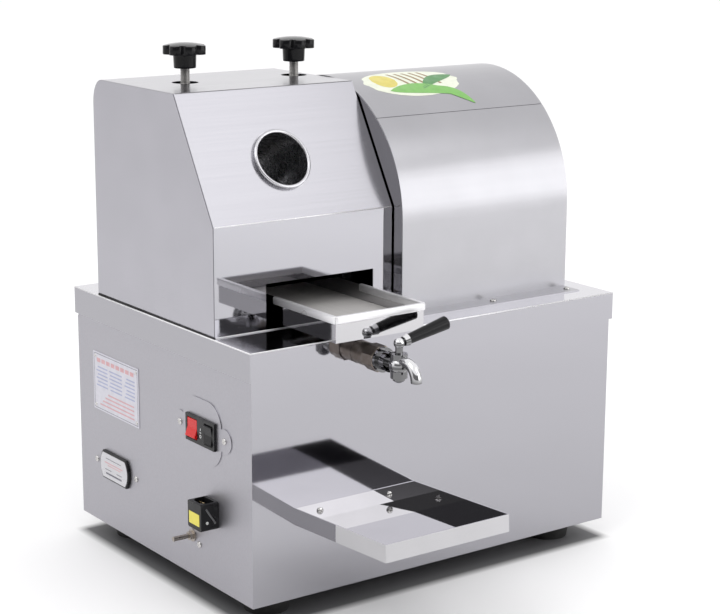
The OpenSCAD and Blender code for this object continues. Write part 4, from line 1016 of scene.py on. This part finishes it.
def shade_under(look):
    """Mask of the painted shadow: a share of one under the cabinet that falls to nothing just outside
    its walls.
    """
    inner, outer = 0.004, 0.012
    low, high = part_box("cabinet_shell")
    place = look.surface("Position")
    shares = []
    for axis, near, far in (("X", low.x, high.x), ("Y", low.y, high.y)):
        half = (far - near) / 2
        off = look.calc("ABSOLUTE", look.calc("SUBTRACT", place[axis], (near + far) / 2))
        shares.append(look.ramp(off, 1.0, 0.0, start=half - inner, end=half + outer))
    return look.calc("MULTIPLY", *shares)


def white_floor():
    """White floor with a painted shadow under the cabinet."""
    span = 40
    white = (0.95, 0.95, 0.95, 1.0)
    # Painted shadow: the floor's colour under the cabinet
    painted_shadow = (0.16, 0.16, 0.165, 1.0)
    floor = bpy.data.meshes.new("floor")
    corners = [(-span, -span, 0), (span, -span, 0), (span, span, 0), (-span, span, 0)]
    floor.from_pydata(corners, [], [(0, 1, 2, 3)])
    look = Look("floor_white", white, metallic=0.0, roughness=0.6)
    look.gloss(look.noise(scale=3, detail=2.0), low=0.5, high=0.7)
    look.put("Specular IOR Level", 0.2)
    look.paint(shade_under(look), white, painted_shadow)
    floor.materials.append(look.mat)
    obj = bpy.data.objects.new("floor", floor)
    bpy.context.scene.collection.objects.link(obj)


def sky():
    """An even bright sky, dark low down in front of the machine."""
    level_low, level_high, dark_share = 1.16, 1.14, 0.95
    dark_front, dark_back, dark_low, dark_high = -0.15, 0.2, 0.36, 0.46
    soft = "SMOOTHSTEP"
    world = bpy.data.worlds.new("sky")
    bpy.context.scene.world = world
    world.use_nodes = True
    graph = Graph(world.node_tree)
    way = graph.axes(graph.add("ShaderNodeTexCoord").outputs["Generated"])
    front = graph.ramp(way["Y"], dark_share, 0.0, start=dark_front, end=dark_back, curve=soft)
    under = graph.ramp(way["Z"], 1.0, 0.0, start=dark_low, end=dark_high, curve=soft)
    level = graph.ramp(way["Z"], level_low, level_high, start=0.0, end=1.0, curve=soft)
    light = graph.calc("SUBTRACT", level, graph.calc("MULTIPLY", front, under))
    back = world.node_tree.nodes["Background"]
    back.inputs["Color"].default_value = (1.0, 0.995, 1.0, 1.0)
    graph.join(light, back.inputs["Strength"])


def lamp(name, place, target, size, power):
    """A rectangular lamp that looks at a target."""
    data = bpy.data.lights.new(name, "AREA")
    data.shape = "RECTANGLE"
    data.size, data.size_y = size
    data.energy = power
    obj = bpy.data.objects.new(name, data)
    obj.location = place
    obj.rotation_euler = (Vector(target) - Vector(place)).to_track_quat("-Z", "Y").to_euler()
    bpy.context.scene.collection.objects.link(obj)


def camera():
    """The photo's camera, worked out from the corners of lid, cabinet and head."""
    place = (-1.3570, -1.849226, 0.8694)
    data = bpy.data.cameras.new("camera")
    data.sensor_width = 36
    data.sensor_fit = "HORIZONTAL"
    data.lens = 92.825
    obj = bpy.data.objects.new("camera", data)
    forward = Vector((0.5696, 0.7896, -0.2284)).normalized()
    right = Vector((0.8117, -0.5842, 0.0049)).normalized()
    up = right.cross(forward).normalized()
    right = forward.cross(up)
    turn = Matrix((right, up, -forward)).transposed().to_4x4()
    obj.matrix_world = Matrix.Translation(place) @ turn
    bpy.context.scene.collection.objects.link(obj)
    bpy.context.scene.camera = obj


for width, names in EDGES.items():
    for name in names.split():
        soften(name, width)
screw_heads()
threaded_rod("left_thread", "left_press_screw", "left_knob", PRESS_PITCH)
threaded_rod("right_thread", "right_press_screw", "right_knob", PRESS_PITCH)
rating_lines()
cover()
switch_marks()
inlet_trim()
trough_hem()
head_seal()
head_seam()
head_folds()
pipe_sleeve()
lid_edge_painted_highlight()
drum_decal()
white_floor()
sky()
lamp("softbox", place=(1.85, -2.36, 1.07), target=(0, 0, 1.07), size=(3.0, 1.6), power=34.0)
lamp("top_softbox", place=(1.11, -2.38, 3.1), target=(0, 0, 0.55), size=(2.45, 1.1), power=9.0)
lamp("left_fill", place=(-2.5, -0.3, 3.5), target=(-0.6, -0.3, 0), size=(2.0, 2.0), power=26.0)
camera()
bpy.context.scene.view_settings.view_transform = "Standard"
